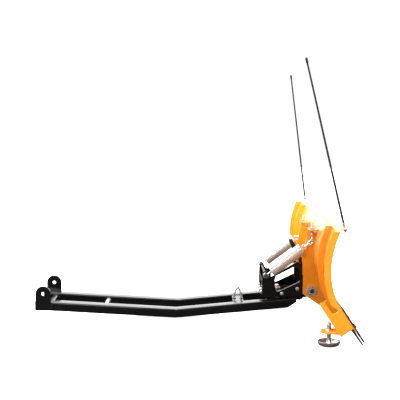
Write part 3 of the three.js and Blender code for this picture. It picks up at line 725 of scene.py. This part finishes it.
# %% Pivot shaft and washers
centre, size = middle_of("pivot_shaft")
pivot_x, pivot_z = centre.x, centre.z
half = size.y / 2
bm = bmesh.new()
half_profile = [(10, 0), (10, half - 3.4), (9.2, half - 3.2), (9.2, half - 2.0),
                (10, half - 1.8), (10, half - 0.9), (9, half), (3.2, half), (2.4, half - 1.6)]
mirrored = [(r, -z) for r, z in reversed(half_profile[1:])]
turned(bm, mirrored + half_profile, along_y(pivot_x, pivot_z), 56)
hand_over(as_piece("pivot_shaft_turned", bm, "dark_steel"), BODY_OF["pivot_shaft"],
          "dark_steel", "pivot_shaft")
for side, sign in SIDES.items():
    name = f"{side}_pivot_washer"
    centre, _ = middle_of(name)
    y = centre.y / MM
    bm = bmesh.new()
    profile = [(10.3, y - 2.5), (23.9, y - 2.5), (24.5, y - 1.9), (24.5, y + 1.9),
               (23.9, y + 2.5), (10.8, y + 2.5), (10.3, y + 2.0)]
    turned(bm, profile, along_y(pivot_x, pivot_z), 64, through=True)
    ring_y = sign * (half - 2.6)
    clip = [(9.3, ring_y - 0.5), (11.6, ring_y - 0.5), (11.6, ring_y + 0.5), (9.3, ring_y + 0.5)]
    turned(bm, clip, along_y(pivot_x, pivot_z), 48, through=True)
    hand_over(as_piece(name + "_turned", bm, "zinc"), BODY_OF[name], "zinc", name)
print("trip pivot at", round(pivot_x, 4), round(pivot_z, 4))

# %% Kingpin
pin_low, pin_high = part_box("kingpin_bolt")
kingpin_x = (pin_low.x + pin_high.x) / 2
upright = Matrix.Translation((kingpin_x, 0, 0))
bm = bmesh.new()
foot, top = pin_low.z / MM, pin_high.z / MM
hexagon(bm, 30, foot, foot + 11.5, 0, upright)
turned(bm, [(9.9, foot + 6), (9.9, top - 28), *thread(10, top - 27, top)], upright, 48)
hand_over(as_piece("kingpin_bolt_turned", bm, "zinc"), BODY_OF["kingpin_bolt"], "zinc", "kingpin_bolt")
low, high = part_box("kingpin_spacer")
bm = bmesh.new()
a, b = low.z / MM, high.z / MM
turned(bm, [(10.5, a), (29, a), (30, a + 1), (30, b - 1), (29, b), (10.5, b)], upright, 72, through=True)
hand_over(as_piece("kingpin_spacer_turned", bm, "cast_steel"), BODY_OF["kingpin_spacer"],
          "cast_steel", "kingpin_spacer")
low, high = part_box("kingpin_nut")
bm = bmesh.new()
a, b = low.z / MM, high.z / MM
turned(bm, [(10.6, a), (19, a), (19.6, a + 0.5), (19.6, a + 2.2), (19, a + 2.6), (10.6, a + 2.6)],
       upright, 48, through=True)
hexagon(bm, 30, a + 2.9, b, 10.4, upright)
hand_over(as_piece("kingpin_nut_turned", bm, "zinc"), BODY_OF["kingpin_nut"], "zinc", "kingpin_nut")
print("kingpin at x =", round(kingpin_x, 4))

# %% [markdown]
# ## Lock pin and lever
# The pin drops into a detent hole of the fan plate when the cam lever is thrown back. Its grip
# is a moulded sleeve with finger rings, so the rings are one torus that a Geometry Nodes tree
# repeats along the lever.

# %% Row of parts
def node_tree(name, inputs):
    tree = bpy.data.node_groups.new(name, "GeometryNodeTree")
    tree.interface.new_socket("Geometry", in_out="INPUT", socket_type="NodeSocketGeometry")
    for label, kind, value in inputs:
        socket = tree.interface.new_socket(label, in_out="INPUT", socket_type=kind)
        if value is not None:
            socket.default_value = value
    tree.interface.new_socket("Geometry", in_out="OUTPUT", socket_type="NodeSocketGeometry")
    return tree, tree.nodes.new("NodeGroupInput"), tree.nodes.new("NodeGroupOutput")


def end_tree(tree, g_in, g_out, geometry):
    """Every tree ends with real geometry in a finish."""
    real = tree.nodes.new("GeometryNodeRealizeInstances")
    paint = tree.nodes.new("GeometryNodeSetMaterial")
    tree.links.new(geometry, real.inputs["Geometry"])
    tree.links.new(real.outputs["Geometry"], paint.inputs["Geometry"])
    tree.links.new(g_in.outputs["Finish"], paint.inputs["Material"])
    tree.links.new(paint.outputs["Geometry"], g_out.inputs["Geometry"])


def run_tree(piece, tree, **values):
    """Puts a tree on a piece, sets its inputs by identifier, and keeps the result as a mesh."""
    step = piece.modifiers.new(tree.name, "NODES")
    step.node_group = tree
    for item in tree.interface.items_tree:
        label = item.name.replace(" ", "_")
        if item.in_out == "INPUT" and label in values:
            step[item.identifier] = values[label]
    return apply_modifiers(piece)


FINISH = ("Finish", "NodeSocketMaterial", None)
row_tree, g_in, g_out = node_tree("row_of_parts", [
    ("Count", "NodeSocketInt", 2), ("First", "NodeSocketVector", (0, 0, 0)),
    ("Step", "NodeSocketVector", (0, 0.1, 0)), FINISH])
places = node(row_tree, "GeometryNodeMeshLine", {"mode": "OFFSET"})
copies = node(row_tree, "GeometryNodeInstanceOnPoints")
row_tree.links.new(g_in.outputs["Count"], places.inputs["Count"])
row_tree.links.new(g_in.outputs["First"], places.inputs["Start Location"])
row_tree.links.new(g_in.outputs["Step"], places.inputs["Offset"])
row_tree.links.new(places.outputs["Mesh"], copies.inputs["Points"])
row_tree.links.new(g_in.outputs["Geometry"], copies.inputs["Instance"])
end_tree(row_tree, g_in, g_out, copies.outputs["Instances"])


def row_of(name, bm, finish, body, count, first, step, sharp=35):
    piece = as_piece(name, bm, finish, sharp)
    run_tree(piece, row_tree, Count=count, First=first, Step=step, Finish=FINISHES[finish])
    return hand_over(piece, body, finish)


print("tree", row_tree.name, "has", len(row_tree.nodes), "nodes")

# %% Lock pin, lever pin and grip
low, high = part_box("lock_pin")
post_x = (low.x + high.x) / 2
cam_z = high.z - 0.0075
pin_place = Matrix.Translation((post_x, 0, 0))
bm = bmesh.new()
a, b = low.z / MM, high.z / MM
turned(bm, [(4.5, a), (7, a + 4), (7, b - 1.2), (6, b)], pin_place, 40)
hand_over(as_piece("lock_pin_turned", bm, "zinc"), BODY_OF["lock_pin"], "zinc", "lock_pin")
low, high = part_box("lever_pivot_pin")
bm = bmesh.new()
a, b = low.y / MM, high.y / MM
turned(bm, [(2.2, a), (4.6, a + 0.6), (4.6, a + 2.4), (3, a + 2.5), (3, b - 2.5), (4.6, b - 2.4),
            (4.6, b - 0.6), (2.2, b)], along_y(post_x, cam_z), 28)
hand_over(as_piece("lever_pivot_rivet", bm, "dark_steel"), BODY_OF["lever_pivot_pin"],
          "dark_steel", "lever_pivot_pin")

LEVER_LEAN = math.radians(26.6)
lever = Matrix.Translation((post_x, 0, cam_z)) @ Matrix.Rotation(-LEVER_LEAN, 4, "Y")
bm = bmesh.new()
turned(bm, [(5.8, 34), (9.2, 34), (10.3, 35.2), (11, 42), (10.4, 52), (9.8, 66), (9.2, 80),
            (8.6, 91), (7.6, 97), (6.6, 99), (5.8, 99)], lever, 40, through=True)
hand_over(as_piece("lever_grip_moulded", bm, "black_plastic"), BODY_OF["lever_grip"],
          "black_plastic", "lever_grip")
bm = bmesh.new()
circle = [(10.2 * math.cos(a), 10.2 * math.sin(a), 44) for a in
          (2 * math.pi * i / 36 for i in range(36))]
bent_bar(bm, circle, 1.0, lever, 8, closed=True)
along = (lever.to_3x3() @ Vector((0, 0, 1))) * 0.009
row_of("grip_finger_rings", bm, "black_plastic", BODY_OF["lever_grip"], 5, (0, 0, 0), along)
bm = bmesh.new()
turned(bm, [(5.9, 100), (6.2, 100.8), (6.2, 106), (5.2, 108.6), (3, 109.4)], lever, 32)
hand_over(as_piece("lever_end_ferrule", bm, "zinc"), BODY_OF["lock_lever"], "zinc")
print("lever pivot at", round(post_x, 4), round(cam_z, 4))

# %% [markdown]
# ## Springs, links and eyebolts
# Each trip spring is close-wound, so it reads as a bright cylinder with fine grooves. The coil
# is a Geometry Nodes tree: a spiral curve with a round section. Its ends are bent wire: a
# loop round the anchor rod below, and one for the first chain link above. The spring crosses
# the trip joint, between the yoke and the blade; it is built in place and given to neither
# body. A real one stays straight and stretches; one blended between the bodies would bow when
# the blade trips, which is that method's weak side.

# %% Coil tree
coil_tree, g_in, g_out = node_tree("close_wound_coil", [
    ("Turns", "NodeSocketFloat", 24.0), ("Coil Radius", "NodeSocketFloat", 0.0235),
    ("Wire Radius", "NodeSocketFloat", 0.0035), ("Length", "NodeSocketFloat", 0.165),
    ("Steps", "NodeSocketInt", 960), FINISH])
spiral = node(coil_tree, "GeometryNodeCurveSpiral")
section = node(coil_tree, "GeometryNodeCurvePrimitiveCircle", None, Resolution=10)
wound = node(coil_tree, "GeometryNodeCurveToMesh", None, Fill_Caps=True)
soft = node(coil_tree, "GeometryNodeSetShadeSmooth")
for label, target in (("Turns", "Rotations"), ("Coil Radius", "Start Radius"),
                      ("Coil Radius", "End Radius"), ("Length", "Height"), ("Steps", "Resolution")):
    coil_tree.links.new(g_in.outputs[label], spiral.inputs[target])
coil_tree.links.new(g_in.outputs["Wire Radius"], section.inputs["Radius"])
coil_tree.links.new(spiral.outputs["Curve"], wound.inputs["Curve"])
coil_tree.links.new(section.outputs["Curve"], wound.inputs["Profile Curve"])
coil_tree.links.new(wound.outputs["Mesh"], soft.inputs["Geometry"])
end_tree(coil_tree, g_in, g_out, soft.outputs["Geometry"])
print("tree", coil_tree.name, "has", len(coil_tree.nodes), "nodes")

# %% Trip springs
SPRING_ANGLE = math.radians(37)
SPRING_Y = 0.160
rod_middle, rod_size = middle_of("spring_anchor_rod")


def spring_line(y):
    """Local Z runs from the anchor rod up to the eyebolt."""
    lean = Matrix.Rotation(math.pi / 2 - SPRING_ANGLE, 4, "Y")
    return Matrix.Translation((rod_middle.x, y, rod_middle.z)) @ lean


def loop_points(centre, start, sweep_angle, steps=22):
    angles = [math.radians(start + sweep_angle * i / steps) for i in range(steps + 1)]
    return [(9 * math.cos(a), 0, centre + 9 * math.sin(a)) for a in angles]


WIRE, COIL_LOW, COIL_HIGH = 3.5, 28, 200
for side, sign in SIDES.items():
    place = spring_line(sign * SPRING_Y)
    holder = bpy.data.meshes.new(f"{side}_spring_coil")
    spring = bpy.data.objects.new(f"{side}_spring_coil", holder)
    scene.collection.objects.link(spring)
    run_tree(spring, coil_tree, Turns=23.5, Length=(COIL_HIGH - COIL_LOW - 2 * WIRE) * MM,
             Finish=spring_wire)
    spring.data.transform(place @ Matrix.Translation((0, 0, (COIL_LOW + WIRE) * MM)))
    bm = bmesh.new()
    bm.from_mesh(spring.data)
    start = COIL_LOW + WIRE
    foot = smooth_path([(0, 0, 9), (0, 0, 17), (0, 0, 24), (4, -0.5, 29.5), (13, -1.5, 31.5),
                        (23.5, 0, start)])
    bent_bar(bm, loop_points(0, 165, 285), WIRE, place, 12)
    bent_bar(bm, foot, WIRE, place, 12)
    end = COIL_HIGH - WIRE
    neck = smooth_path([(-23.5, 0, end), (-13, 1.5, end + 0.5), (-4, 1, end + 1.5),
                        (0, 0, 203)])
    bent_bar(bm, neck, WIRE, place, 12)
    bent_bar(bm, loop_points(212, -90, 300), WIRE, place, 12)
    old = spring.data
    bpy.data.objects.remove(spring)
    bpy.data.meshes.remove(old)
    spring = as_piece(f"{side}_trip_spring_wound", bm, "spring_steel", 50)
    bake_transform(spring)
    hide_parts(f"{side}_trip_spring")
    print(spring.name, "has", len(spring.data.polygons), "faces")


# %% Chain links and eyebolts
def link_points(start, turned_quarter):
    bend, length = 7.5, 28
    made = []
    for centre, first in ((start + length - bend, 0), (start + bend, 180)):
        for i in range(15):
            a = math.radians(first + 180 * i / 14)
            made.append((bend * math.cos(a), 0, centre + bend * math.sin(a)))
    if turned_quarter:
        made = [(0, x, z) for x, _, z in made]
    return made


FIRST_LINK, SECOND_LINK = 214.2, 235.9
for side, sign in SIDES.items():
    place = spring_line(sign * SPRING_Y)
    for which, start, quarter in (("lower", FIRST_LINK, True), ("upper", SECOND_LINK, False)):
        name = f"{side}_chain_link_{which}"
        bm = bmesh.new()
        bent_bar(bm, link_points(start, quarter), 3, place, 14, closed=True)
        hand_over(as_piece(name + "_bent", bm, "zinc", 60), BODY_OF[name], "zinc", name)
    name = f"{side}_eyebolt"
    low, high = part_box(name)
    eye = low.z / MM + 12.5
    stand = Matrix.Translation(((low.x + high.x) / 2, sign * SPRING_Y, 0))
    bm = bmesh.new()
    ring = [(0, 9 * math.cos(a), eye + 9 * math.sin(a)) for a in
            (2 * math.pi * i / 40 for i in range(40))]
    bent_bar(bm, ring, 3.5, stand, 14, closed=True)
    turned(bm, [(3.2, eye + 7.5), (4.6, eye + 12), (4.9, eye + 17),
                *thread(5, eye + 22, high.z / MM)], stand, 32)
    hand_over(as_piece(name + "_forged", bm, "zinc", 50), BODY_OF[name], "zinc", name)
    name = f"{side}_eyebolt_nut"
    low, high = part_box(name)
    bm = bmesh.new()
    a, b = low.z / MM, high.z / MM
    washer(bm, 5.4, 10, 1.4, stand, 36, a)
    hexagon(bm, 17, a + 1.6, b, 5.3, stand)
    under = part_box(f"{side}_spring_shelf")[0].z / MM
    hexagon(bm, 17, under - 7.6, under - 0.2, 5.3, stand)
    hand_over(as_piece(name + "_turned", bm, "zinc"), BODY_OF[name], "zinc", name)
print("links from", FIRST_LINK, "and", SECOND_LINK, "mm up the spring line")

# %% Anchor rod with its washers and split pins
half = rod_size.y / 2
bm = bmesh.new()
turned(bm, [(4, -half), (5, -half + 1), (5, half - 1), (4, half)],
       along_y(rod_middle.x, rod_middle.z), 32)
hand_over(as_piece("spring_anchor_rod_turned", bm, "dark_steel"), BODY_OF["spring_anchor_rod"],
          "dark_steel", "spring_anchor_rod")
for side, sign in SIDES.items():
    y = sign * (half - 7.5)
    bm = bmesh.new()
    turned(bm, [(5.1, y - 0.8), (9.5, y - 0.8), (9.5, y + 0.8), (5.1, y + 0.8)],
           along_y(rod_middle.x, rod_middle.z), 32, through=True)
    pin_y = sign * (half - 4)
    at_rod = Matrix.Translation((rod_middle.x, 0, rod_middle.z))
    bent_bar(bm, smooth_path([(3.5, pin_y, -9), (0.8, pin_y, -5), (0.4, pin_y, 0), (0.6, pin_y, 6),
                              (2.6, pin_y, 9), (0, pin_y, 11.5), (-2.6, pin_y, 9),
                              (-0.6, pin_y, 6), (-0.4, pin_y, 0), (-0.8, pin_y, -5),
                              (-4, pin_y, -8)], 3), 0.9, at_rod, 8)
    hand_over(as_piece(f"{side}_anchor_washer_and_pin", bm, "dark_steel"), "yoke", "dark_steel")
print("anchor rod reaches", round(half, 1), "mm each side")

# %% [markdown]
# ## Lift hoop
# A bent round bar stands on the box beam; the winch strap hooks into it. Its centre line runs
# up, over a rounded point and down, so it is one smooth path with a round section.

# %% Lift hoop
low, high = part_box("lift_hoop")
x, foot, top = (low.x + high.x) / 2 / MM, low.z / MM, high.z / MM
route = smooth_path([(x - 16.5, 0, foot), (x - 16.5, 0, foot + 12), (x - 15, 0, foot + 24),
                     (x - 8, 0, foot + 41), (x, 0, top - 5), (x + 8, 0, foot + 41),
                     (x + 15, 0, foot + 24), (x + 16.5, 0, foot + 12), (x + 16.5, 0, foot)], 8)
bm = bmesh.new()
bent_bar(bm, route, 5, Matrix(), 20)
hand_over(as_piece("lift_hoop_bent", bm, "zinc", 60), BODY_OF["lift_hoop"], "zinc", "lift_hoop")
print("hoop stands", round(top - foot, 1), "mm high")

# %% [markdown]
# ## Skid shoes
# A dished cast shoe turns on a stem that slides through the bracket, and a linch pin across
# the stem keeps it from dropping out. The washer lies on the bracket, so it rides with the
# blade, while the pin rides with the shoe. Profile and washer are turned, the ring is wire.

# %% Skid shoes
for side in SIDES:
    name = f"{side}_skid_shoe"
    centre, _ = middle_of(name)
    stand = Matrix.Translation((centre.x, centre.y, 0))
    bm = bmesh.new()
    dish = [(26, 0), (31, 0.4), (37, 2.2), (41.5, 5.5), (44, 10), (45, 15.5), (45, 19.2), (44.2, 20),
            (41.8, 20), (41, 19.2), (40.6, 15), (38.5, 10.5), (34.5, 7.2), (28, 5.4), (18, 5.2),
            (14.5, 6.2), (12.6, 9.5), (11.6, 14), (9.6, 18.5), (8.2, 22), (8.2, 48), (13.4, 48),
            (14, 48.6), (14, 56), (13.4, 56.7), (8.2, 56.7), (8.2, 90), (7.4, 92), (6, 93)]
    turned(bm, [(1.0, 0), *dish, (1.0, 93)], stand, 72)
    hand_over(as_piece(name + "_cast", bm, "cast_steel"), BODY_OF[name], "cast_steel", name)
    bm = bmesh.new()
    bent_bar(bm, [(0, -16, 88.4), (0, -15, 88.4), (0, 16, 88.4), (0, 17, 88.4)], 2.5, stand, 14)
    ring = [(15.5 * math.sin(a), -16 * math.cos(a), 91.4 - 3 * math.cos(a)) for a in
            (2 * math.pi * i / 40 for i in range(40))]
    bent_bar(bm, ring, 1.3, stand, 10, closed=True)
    hand_over(as_piece(f"{side}_skid_linch_pin", bm, "zinc", 40), BODY_OF[name], "zinc")
    bm = bmesh.new()
    turned(bm, [(8.9, 65.2), (14.6, 65.2), (15, 65.6), (15, 66.7), (14.6, 67.1), (8.9, 67.1)],
           stand, 40, through=True)
    hand_over(as_piece(f"{side}_skid_washer", bm, "zinc", 40), "blade", "zinc")
print("shoes stand at y =", round(centre.y, 3))

# %% [markdown]
# ## Edge markers
# Thin black rods show the driver where the blade ends. Each screws into a plated ferrule with
# a hexagon foot on the lip, held by a nut below it, and ends in a small moulded cap.

# %% Edge markers
MARKER_LEAN = {"right": 13.45, "left": 7.1}
LIP_MIDDLE_Z, MARKER_X = 0.4725, 0.617
for side, sign in SIDES.items():
    lean = Matrix.Rotation(-math.radians(MARKER_LEAN[side]), 4, "Y")
    stand = Matrix.Translation((MARKER_X, sign * 0.640, LIP_MIDDLE_Z)) @ lean
    bm = bmesh.new()
    turned(bm, [(4.2, 24), (4.5, 24.8), (4.4, 60), (3.6, 655), (3.6, 656), (4.6, 657), (5, 659),
                (4.9, 672), (4.2, 676.5), (2.4, 678)], stand, 28)
    name = f"{side}_marker_rod"
    hand_over(as_piece(name + "_turned", bm, "black_plastic"), BODY_OF[name], "black_plastic", name)
    bm = bmesh.new()
    hexagon(bm, 13.8, 4, 9, 0, stand)
    turned(bm, [(5.2, 8.6), (6, 9.4), (6, 11), (5.4, 11.4), (5.4, 12.4), (6, 12.8), (6, 22.6),
                (5.2, 23.7)], stand, 32)
    name = f"{side}_marker_base"
    hand_over(as_piece(name + "_turned", bm, "zinc"), BODY_OF[name], "zinc", name)
    bm = bmesh.new()
    hexagon(bm, 13.8, -10, -4, 3.9, stand)
    turned(bm, [(2.6, -18), *thread(4, -17.6, -3, 1.25)], stand, 28)
    name = f"{side}_marker_nut"
    hand_over(as_piece(name + "_turned", bm, "zinc"), BODY_OF[name], "zinc", name)
print("markers lean", MARKER_LEAN)

# %% [markdown]
# ## Bolts
# The two wear bars are clamped to the sheet by nine carriage bolts: round heads in front, a
# washer, a nut and the end of the thread behind. One bolt is modelled, and the row tree
# repeats it across the blade. The same tree sets four bolts along the yoke's tie plate. The
# two on each yoke plate stand at different heights, so a short loop places those.

# %% The blade's section
EDGE_ANGLE = math.radians(57)
DOWN = Vector((math.cos(EDGE_ANGLE), 0, -math.sin(EDGE_ANGLE)))
OUT = Vector((math.sin(EDGE_ANGLE), 0, math.cos(EDGE_ANGLE)))
KNEE, CREST = Vector((601, 0, 167)), Vector((603, 0, 472))
HANDLES = (KNEE, KNEE - DOWN * 66, Vector((541, 0, 337)), CREST)
SHEET_BACK = 3.3


def below_knee(distance, back):
    """A point on the straight lower part, back from the front face, in millimetres."""
    return KNEE + DOWN * distance - OUT * back


def sheet_point(t, back=SHEET_BACK):
    """A point on the rolled part: t is 0 at the knee and 1 at the crest."""
    a, b, c, d = HANDLES
    u = 1 - t
    point = a * u ** 3 + b * 3 * u * u * t + c * 3 * u * t * t + d * t ** 3
    along = ((b - a) * u * u + (c - b) * 2 * u * t + (d - c) * t * t).normalized()
    return point + Vector((-along.z, 0, along.x)) * back


def facing(point, direction):
    """A frame in metres whose Z looks along direction."""
    turn = Vector(direction).to_track_quat("Z", "Y").to_matrix().to_4x4()
    return Matrix.Translation(Vector(point) * MM) @ turn


print("lower edge of the sheet:", [round(v) for v in below_knee(122, 0)])

# %% Wear bar bolts
BOLT_DROP, BOLT_PITCH = 105, 0.155
first, step = (0, -4 * BOLT_PITCH, 0), (0, BOLT_PITCH, 0)
bm = bmesh.new()
turned(bm, [(9.6, 0), (10.5, 0.5), (10.4, 1.6), (9.2, 3.2), (6.6, 4.7), (3.4, 5.5), (0.8, 5.7)],
       facing(below_knee(BOLT_DROP, -7.4), OUT), 28)
row_of("wear_bar_bolt_heads", bm, "dark_steel", "blade", 9, first, step)
bm = bmesh.new()
behind = facing(below_knee(BOLT_DROP, 10.4), -OUT)
washer(bm, 5.2, 11, 1.8, behind, 28)
hexagon(bm, 17, 1.9, 9.5, 5.1, behind)
turned(bm, [(4.4, 1), *thread(5, 8, 15.5)], behind, 20)
row_of("wear_bar_nuts", bm, "zinc", "blade", 9, first, step)
print("bolts at", [round(v) for v in below_knee(BOLT_DROP, 0)])

# %% Yoke bolts
YOKE_FACE, YOKE_BOLTS = 116.2, ((424, 110), (494, 132))
TIE_FACE, TIE_BOLT_Z = 333.9, 112
for side, sign in SIDES.items():
    bm = bmesh.new()
    for x, z in YOKE_BOLTS:
        seat = facing((x, sign * YOKE_FACE, z), (0, sign, 0))
        washer(bm, 4.2, 8, 1.6, seat)
        hexagon(bm, 13, 1.7, 7, 0, seat)
    hand_over(as_piece(f"{side}_yoke_plate_bolts", bm, "zinc"), "yoke", "zinc")
bm = bmesh.new()
seat = facing((TIE_FACE, 0, TIE_BOLT_Z), (-1, 0, 0))
washer(bm, 5.2, 10, 1.6, seat)
hexagon(bm, 16, 1.7, 8.6, 0, seat)
row_of("tie_plate_bolts", bm, "zinc", "yoke", 4, (0, -0.09, 0), (0, 0.06, 0))
print("bolts on each yoke plate:", len(YOKE_BOLTS))

# %% [markdown]
# ## Weld beads
# Everything on the frame, the yoke and the blade is welded. A bead is a rippled roll of metal
# that follows a seam, so the seams are drawn as lines and one tree turns them into beads: it
# resamples the line, swells its radius in a wave with a little seeded chance, and sweeps a
# round section. Long seams on the blade are stitched, with gaps that let the sheet stay flat.

# %% Bead tree
bead_tree, g_in, g_out = node_tree("weld_bead", [
    ("Bead Radius", "NodeSocketFloat", 0.0026), ("Ripple", "NodeSocketFloat", 0.0032),
    ("Seed", "NodeSocketInt", 4), FINISH])
as_curve = node(bead_tree, "GeometryNodeMeshToCurve")
evenly = node(bead_tree, "GeometryNodeResampleCurve", {"mode": "LENGTH"})
along = node(bead_tree, "GeometryNodeSplineParameter")
chance = node(bead_tree, "FunctionNodeRandomValue", {"data_type": "FLOAT"})
chance.inputs[2].default_value, chance.inputs[3].default_value = 0.88, 1.06
section = node(bead_tree, "GeometryNodeCurvePrimitiveCircle", None, Resolution=8, Radius=1.0)
rolled = node(bead_tree, "GeometryNodeCurveToMesh", None, Fill_Caps=True)
soft = node(bead_tree, "GeometryNodeSetShadeSmooth")
wave = maths(bead_tree, "DIVIDE", along.outputs["Length"], g_in.outputs["Ripple"])
wave = maths(bead_tree, "SINE", maths(bead_tree, "MULTIPLY", wave, 2 * math.pi), 0)
wave = maths(bead_tree, "ADD", maths(bead_tree, "MULTIPLY", wave, 0.11), 1.0)
girth = maths(bead_tree, "MULTIPLY", wave, g_in.outputs["Bead Radius"])
girth = maths(bead_tree, "MULTIPLY", girth, chance.outputs[1])
bead_tree.links.new(g_in.outputs["Seed"], chance.inputs["Seed"])
bead_tree.links.new(g_in.outputs["Geometry"], as_curve.inputs["Mesh"])
bead_tree.links.new(as_curve.outputs["Curve"], evenly.inputs["Curve"])
bead_tree.links.new(maths(bead_tree, "DIVIDE", g_in.outputs["Ripple"], 4.0), evenly.inputs["Length"])
bead_tree.links.new(evenly.outputs["Curve"], rolled.inputs["Curve"])
bead_tree.links.new(girth, rolled.inputs["Scale"])
bead_tree.links.new(section.outputs["Curve"], rolled.inputs["Profile Curve"])
bead_tree.links.new(rolled.outputs["Mesh"], soft.inputs["Geometry"])
end_tree(bead_tree, g_in, g_out, soft.outputs["Geometry"])
print("tree", bead_tree.name, "has", len(bead_tree.nodes), "nodes")


# %% Seams
def weld(name, body, finish, seams, radius):
    """One piece for all the beads of a body: seams are lines of points in millimetres."""
    mesh = bpy.data.meshes.new(name)
    points, edges = [], []
    for seam in seams:
        start = len(points)
        points += [Vector(p) * MM for p in seam]
        edges += [(start + i, start + i + 1) for i in range(len(seam) - 1)]
    mesh.from_pydata(points, edges, [])
    piece = bpy.data.objects.new(name, mesh)
    scene.collection.objects.link(piece)
    run_tree(piece, bead_tree, Bead_Radius=radius * MM, Finish=FINISHES[finish])
    print(name, "has", len(seams), "seams and", len(piece.data.polygons), "faces")
    return hand_over(piece, body, finish)


def stitches(path, run, gap):
    """Cuts a path into runs of weld with bare gaps between them."""
    path = [Vector(p) for p in path]
    marks = [0.0]
    for a, b in zip(path, path[1:]):
        marks.append(marks[-1] + (b - a).length)

    def at(distance):
        i = max(k for k, mark in enumerate(marks[:-1]) if mark <= distance)
        share = (distance - marks[i]) / (marks[i + 1] - marks[i])
        return path[i].lerp(path[i + 1], min(share, 1))

    made, start = [], gap / 2
    while start + run <= marks[-1]:
        made.append([at(start + run * k / 8) for k in range(9)])
        start += run + gap
    return made


def ring_seam(x, y, z, radius, axis="Y"):
    """A closed seam round a tube that runs along axis."""
    made = []
    for i in range(33):
        a = 2 * math.pi * i / 32
        u, v = radius * math.cos(a), radius * math.sin(a)
        made.append((x + u, y, z + v) if axis == "Y" else (x + u, y + v, z))
    return made


# %% Beads on the push frame
def rail_top(x):
    """Height of the rail's upper face, which falls to the bend and rises from it."""
    bottom = (x + 60) * 0.0936 if x > -60 else 36 * (-60 - x) / 641.6
    return bottom + 40


RAIL_INNER, HALF_RAIL, LUG_FRONT = 74.4, 20, -626.4
REAR_TUBE_X, MIDDLE_TUBE_X, HOOP_X, HOOP_HALF = -642, -389, 227, 16.5
seams = []
beam_low, beam_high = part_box("lift_beam")
x0, x1, z0, z1 = (v / MM for v in (beam_low.x, beam_high.x, beam_low.z, beam_high.z))
for sign in SIDES.values():
    y = sign * RAIL_INNER
    seams.append([(LUG_FRONT, sign * 135.6, 37), (LUG_FRONT, sign * 135.6, rail_top(-627) - 6)])
    seams.append([(x, sign * 134.3, rail_top(x) - 1.2) for x in (-692, -672, -652, -632)])
    seams.append(ring_seam(REAR_TUBE_X, y, rail_top(REAR_TUBE_X) - HALF_RAIL, 15.2))
    seams.append(ring_seam(MIDDLE_TUBE_X, y, rail_top(MIDDLE_TUBE_X) - HALF_RAIL, 11.2))
    seams.append([(x0, y, z0), (x0, y, z1), (x1, y, z1), (x1, y, z0), (x0, y, z0)])
    seams += stitches([(352, sign * 74.6, 80.4), (484, sign * 74.6, 80.4)], 38, 14)
for dx in (-HOOP_HALF, HOOP_HALF):
    seams.append(ring_seam(HOOP_X + dx, 0, z1 + 0.4, 5.4, "Z"))
weld("push_frame_welds", "push_frame", "black_paint", seams, 2.5)

# %% Beads on the yoke
YOKE_INNER, TIE_FRONT, FLOOR_TOP = 107.6, 341.1, 101.5
seams = [[(TIE_FRONT, -103, FLOOR_TOP), (TIE_FRONT, 103, FLOOR_TOP)]]
for sign in SIDES.values():
    y = sign * YOKE_INNER
    seams.append([(346, y, FLOOR_TOP), (526, y, FLOOR_TOP)])
    seams.append([(TIE_FRONT, y, 104), (TIE_FRONT, y, 170)])
    seams.append(ring_seam(558, sign * 107.4, 126, 17.2))
post_foot = ((492, -34), (492, 34), (528, 34), (528, -34), (492, -34))
seams.append([(x, y, 101.6) for x, y in post_foot])
weld("yoke_welds", "yoke", "black_paint", seams, 2.5)

# %% Beads on the blade
seams = []
rib_line = [below_knee(d, SHEET_BACK) for d in (72, 40, 10)]
rib_line += [sheet_point(t / 24) for t in range(1, 23)]
for side, sign in SIDES.items():
    for y in (457, 463, 654):
        seams += stitches([p + Vector((0, sign * y, 0)) for p in rib_line], 32, 34)
    for y in (124, 132):
        seams += stitches([p + Vector((0, sign * y, 0)) for p in rib_line[:21]], 46, 26)
    shelf_low, shelf_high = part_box(f"{side}_spring_shelf")
    root = shelf_high.x / MM + 0.6
    for z in (shelf_low.z / MM, shelf_high.z / MM):
        seams.append([(root, sign * 134, z), (root, sign * 180, z)])
        seams.append([(540, sign * 132.2, z), (root - 4, sign * 132.2, z)])
    bracket_low, bracket_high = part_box(f"{side}_skid_bracket")
    for z in (bracket_low.z / MM, bracket_high.z / MM):
        seams.append([(576, sign * 653.6, z), (603, sign * 653.6, z)])
weld("blade_welds", "blade", "orange_paint", seams, 2.3)

# %% Size
low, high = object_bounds()
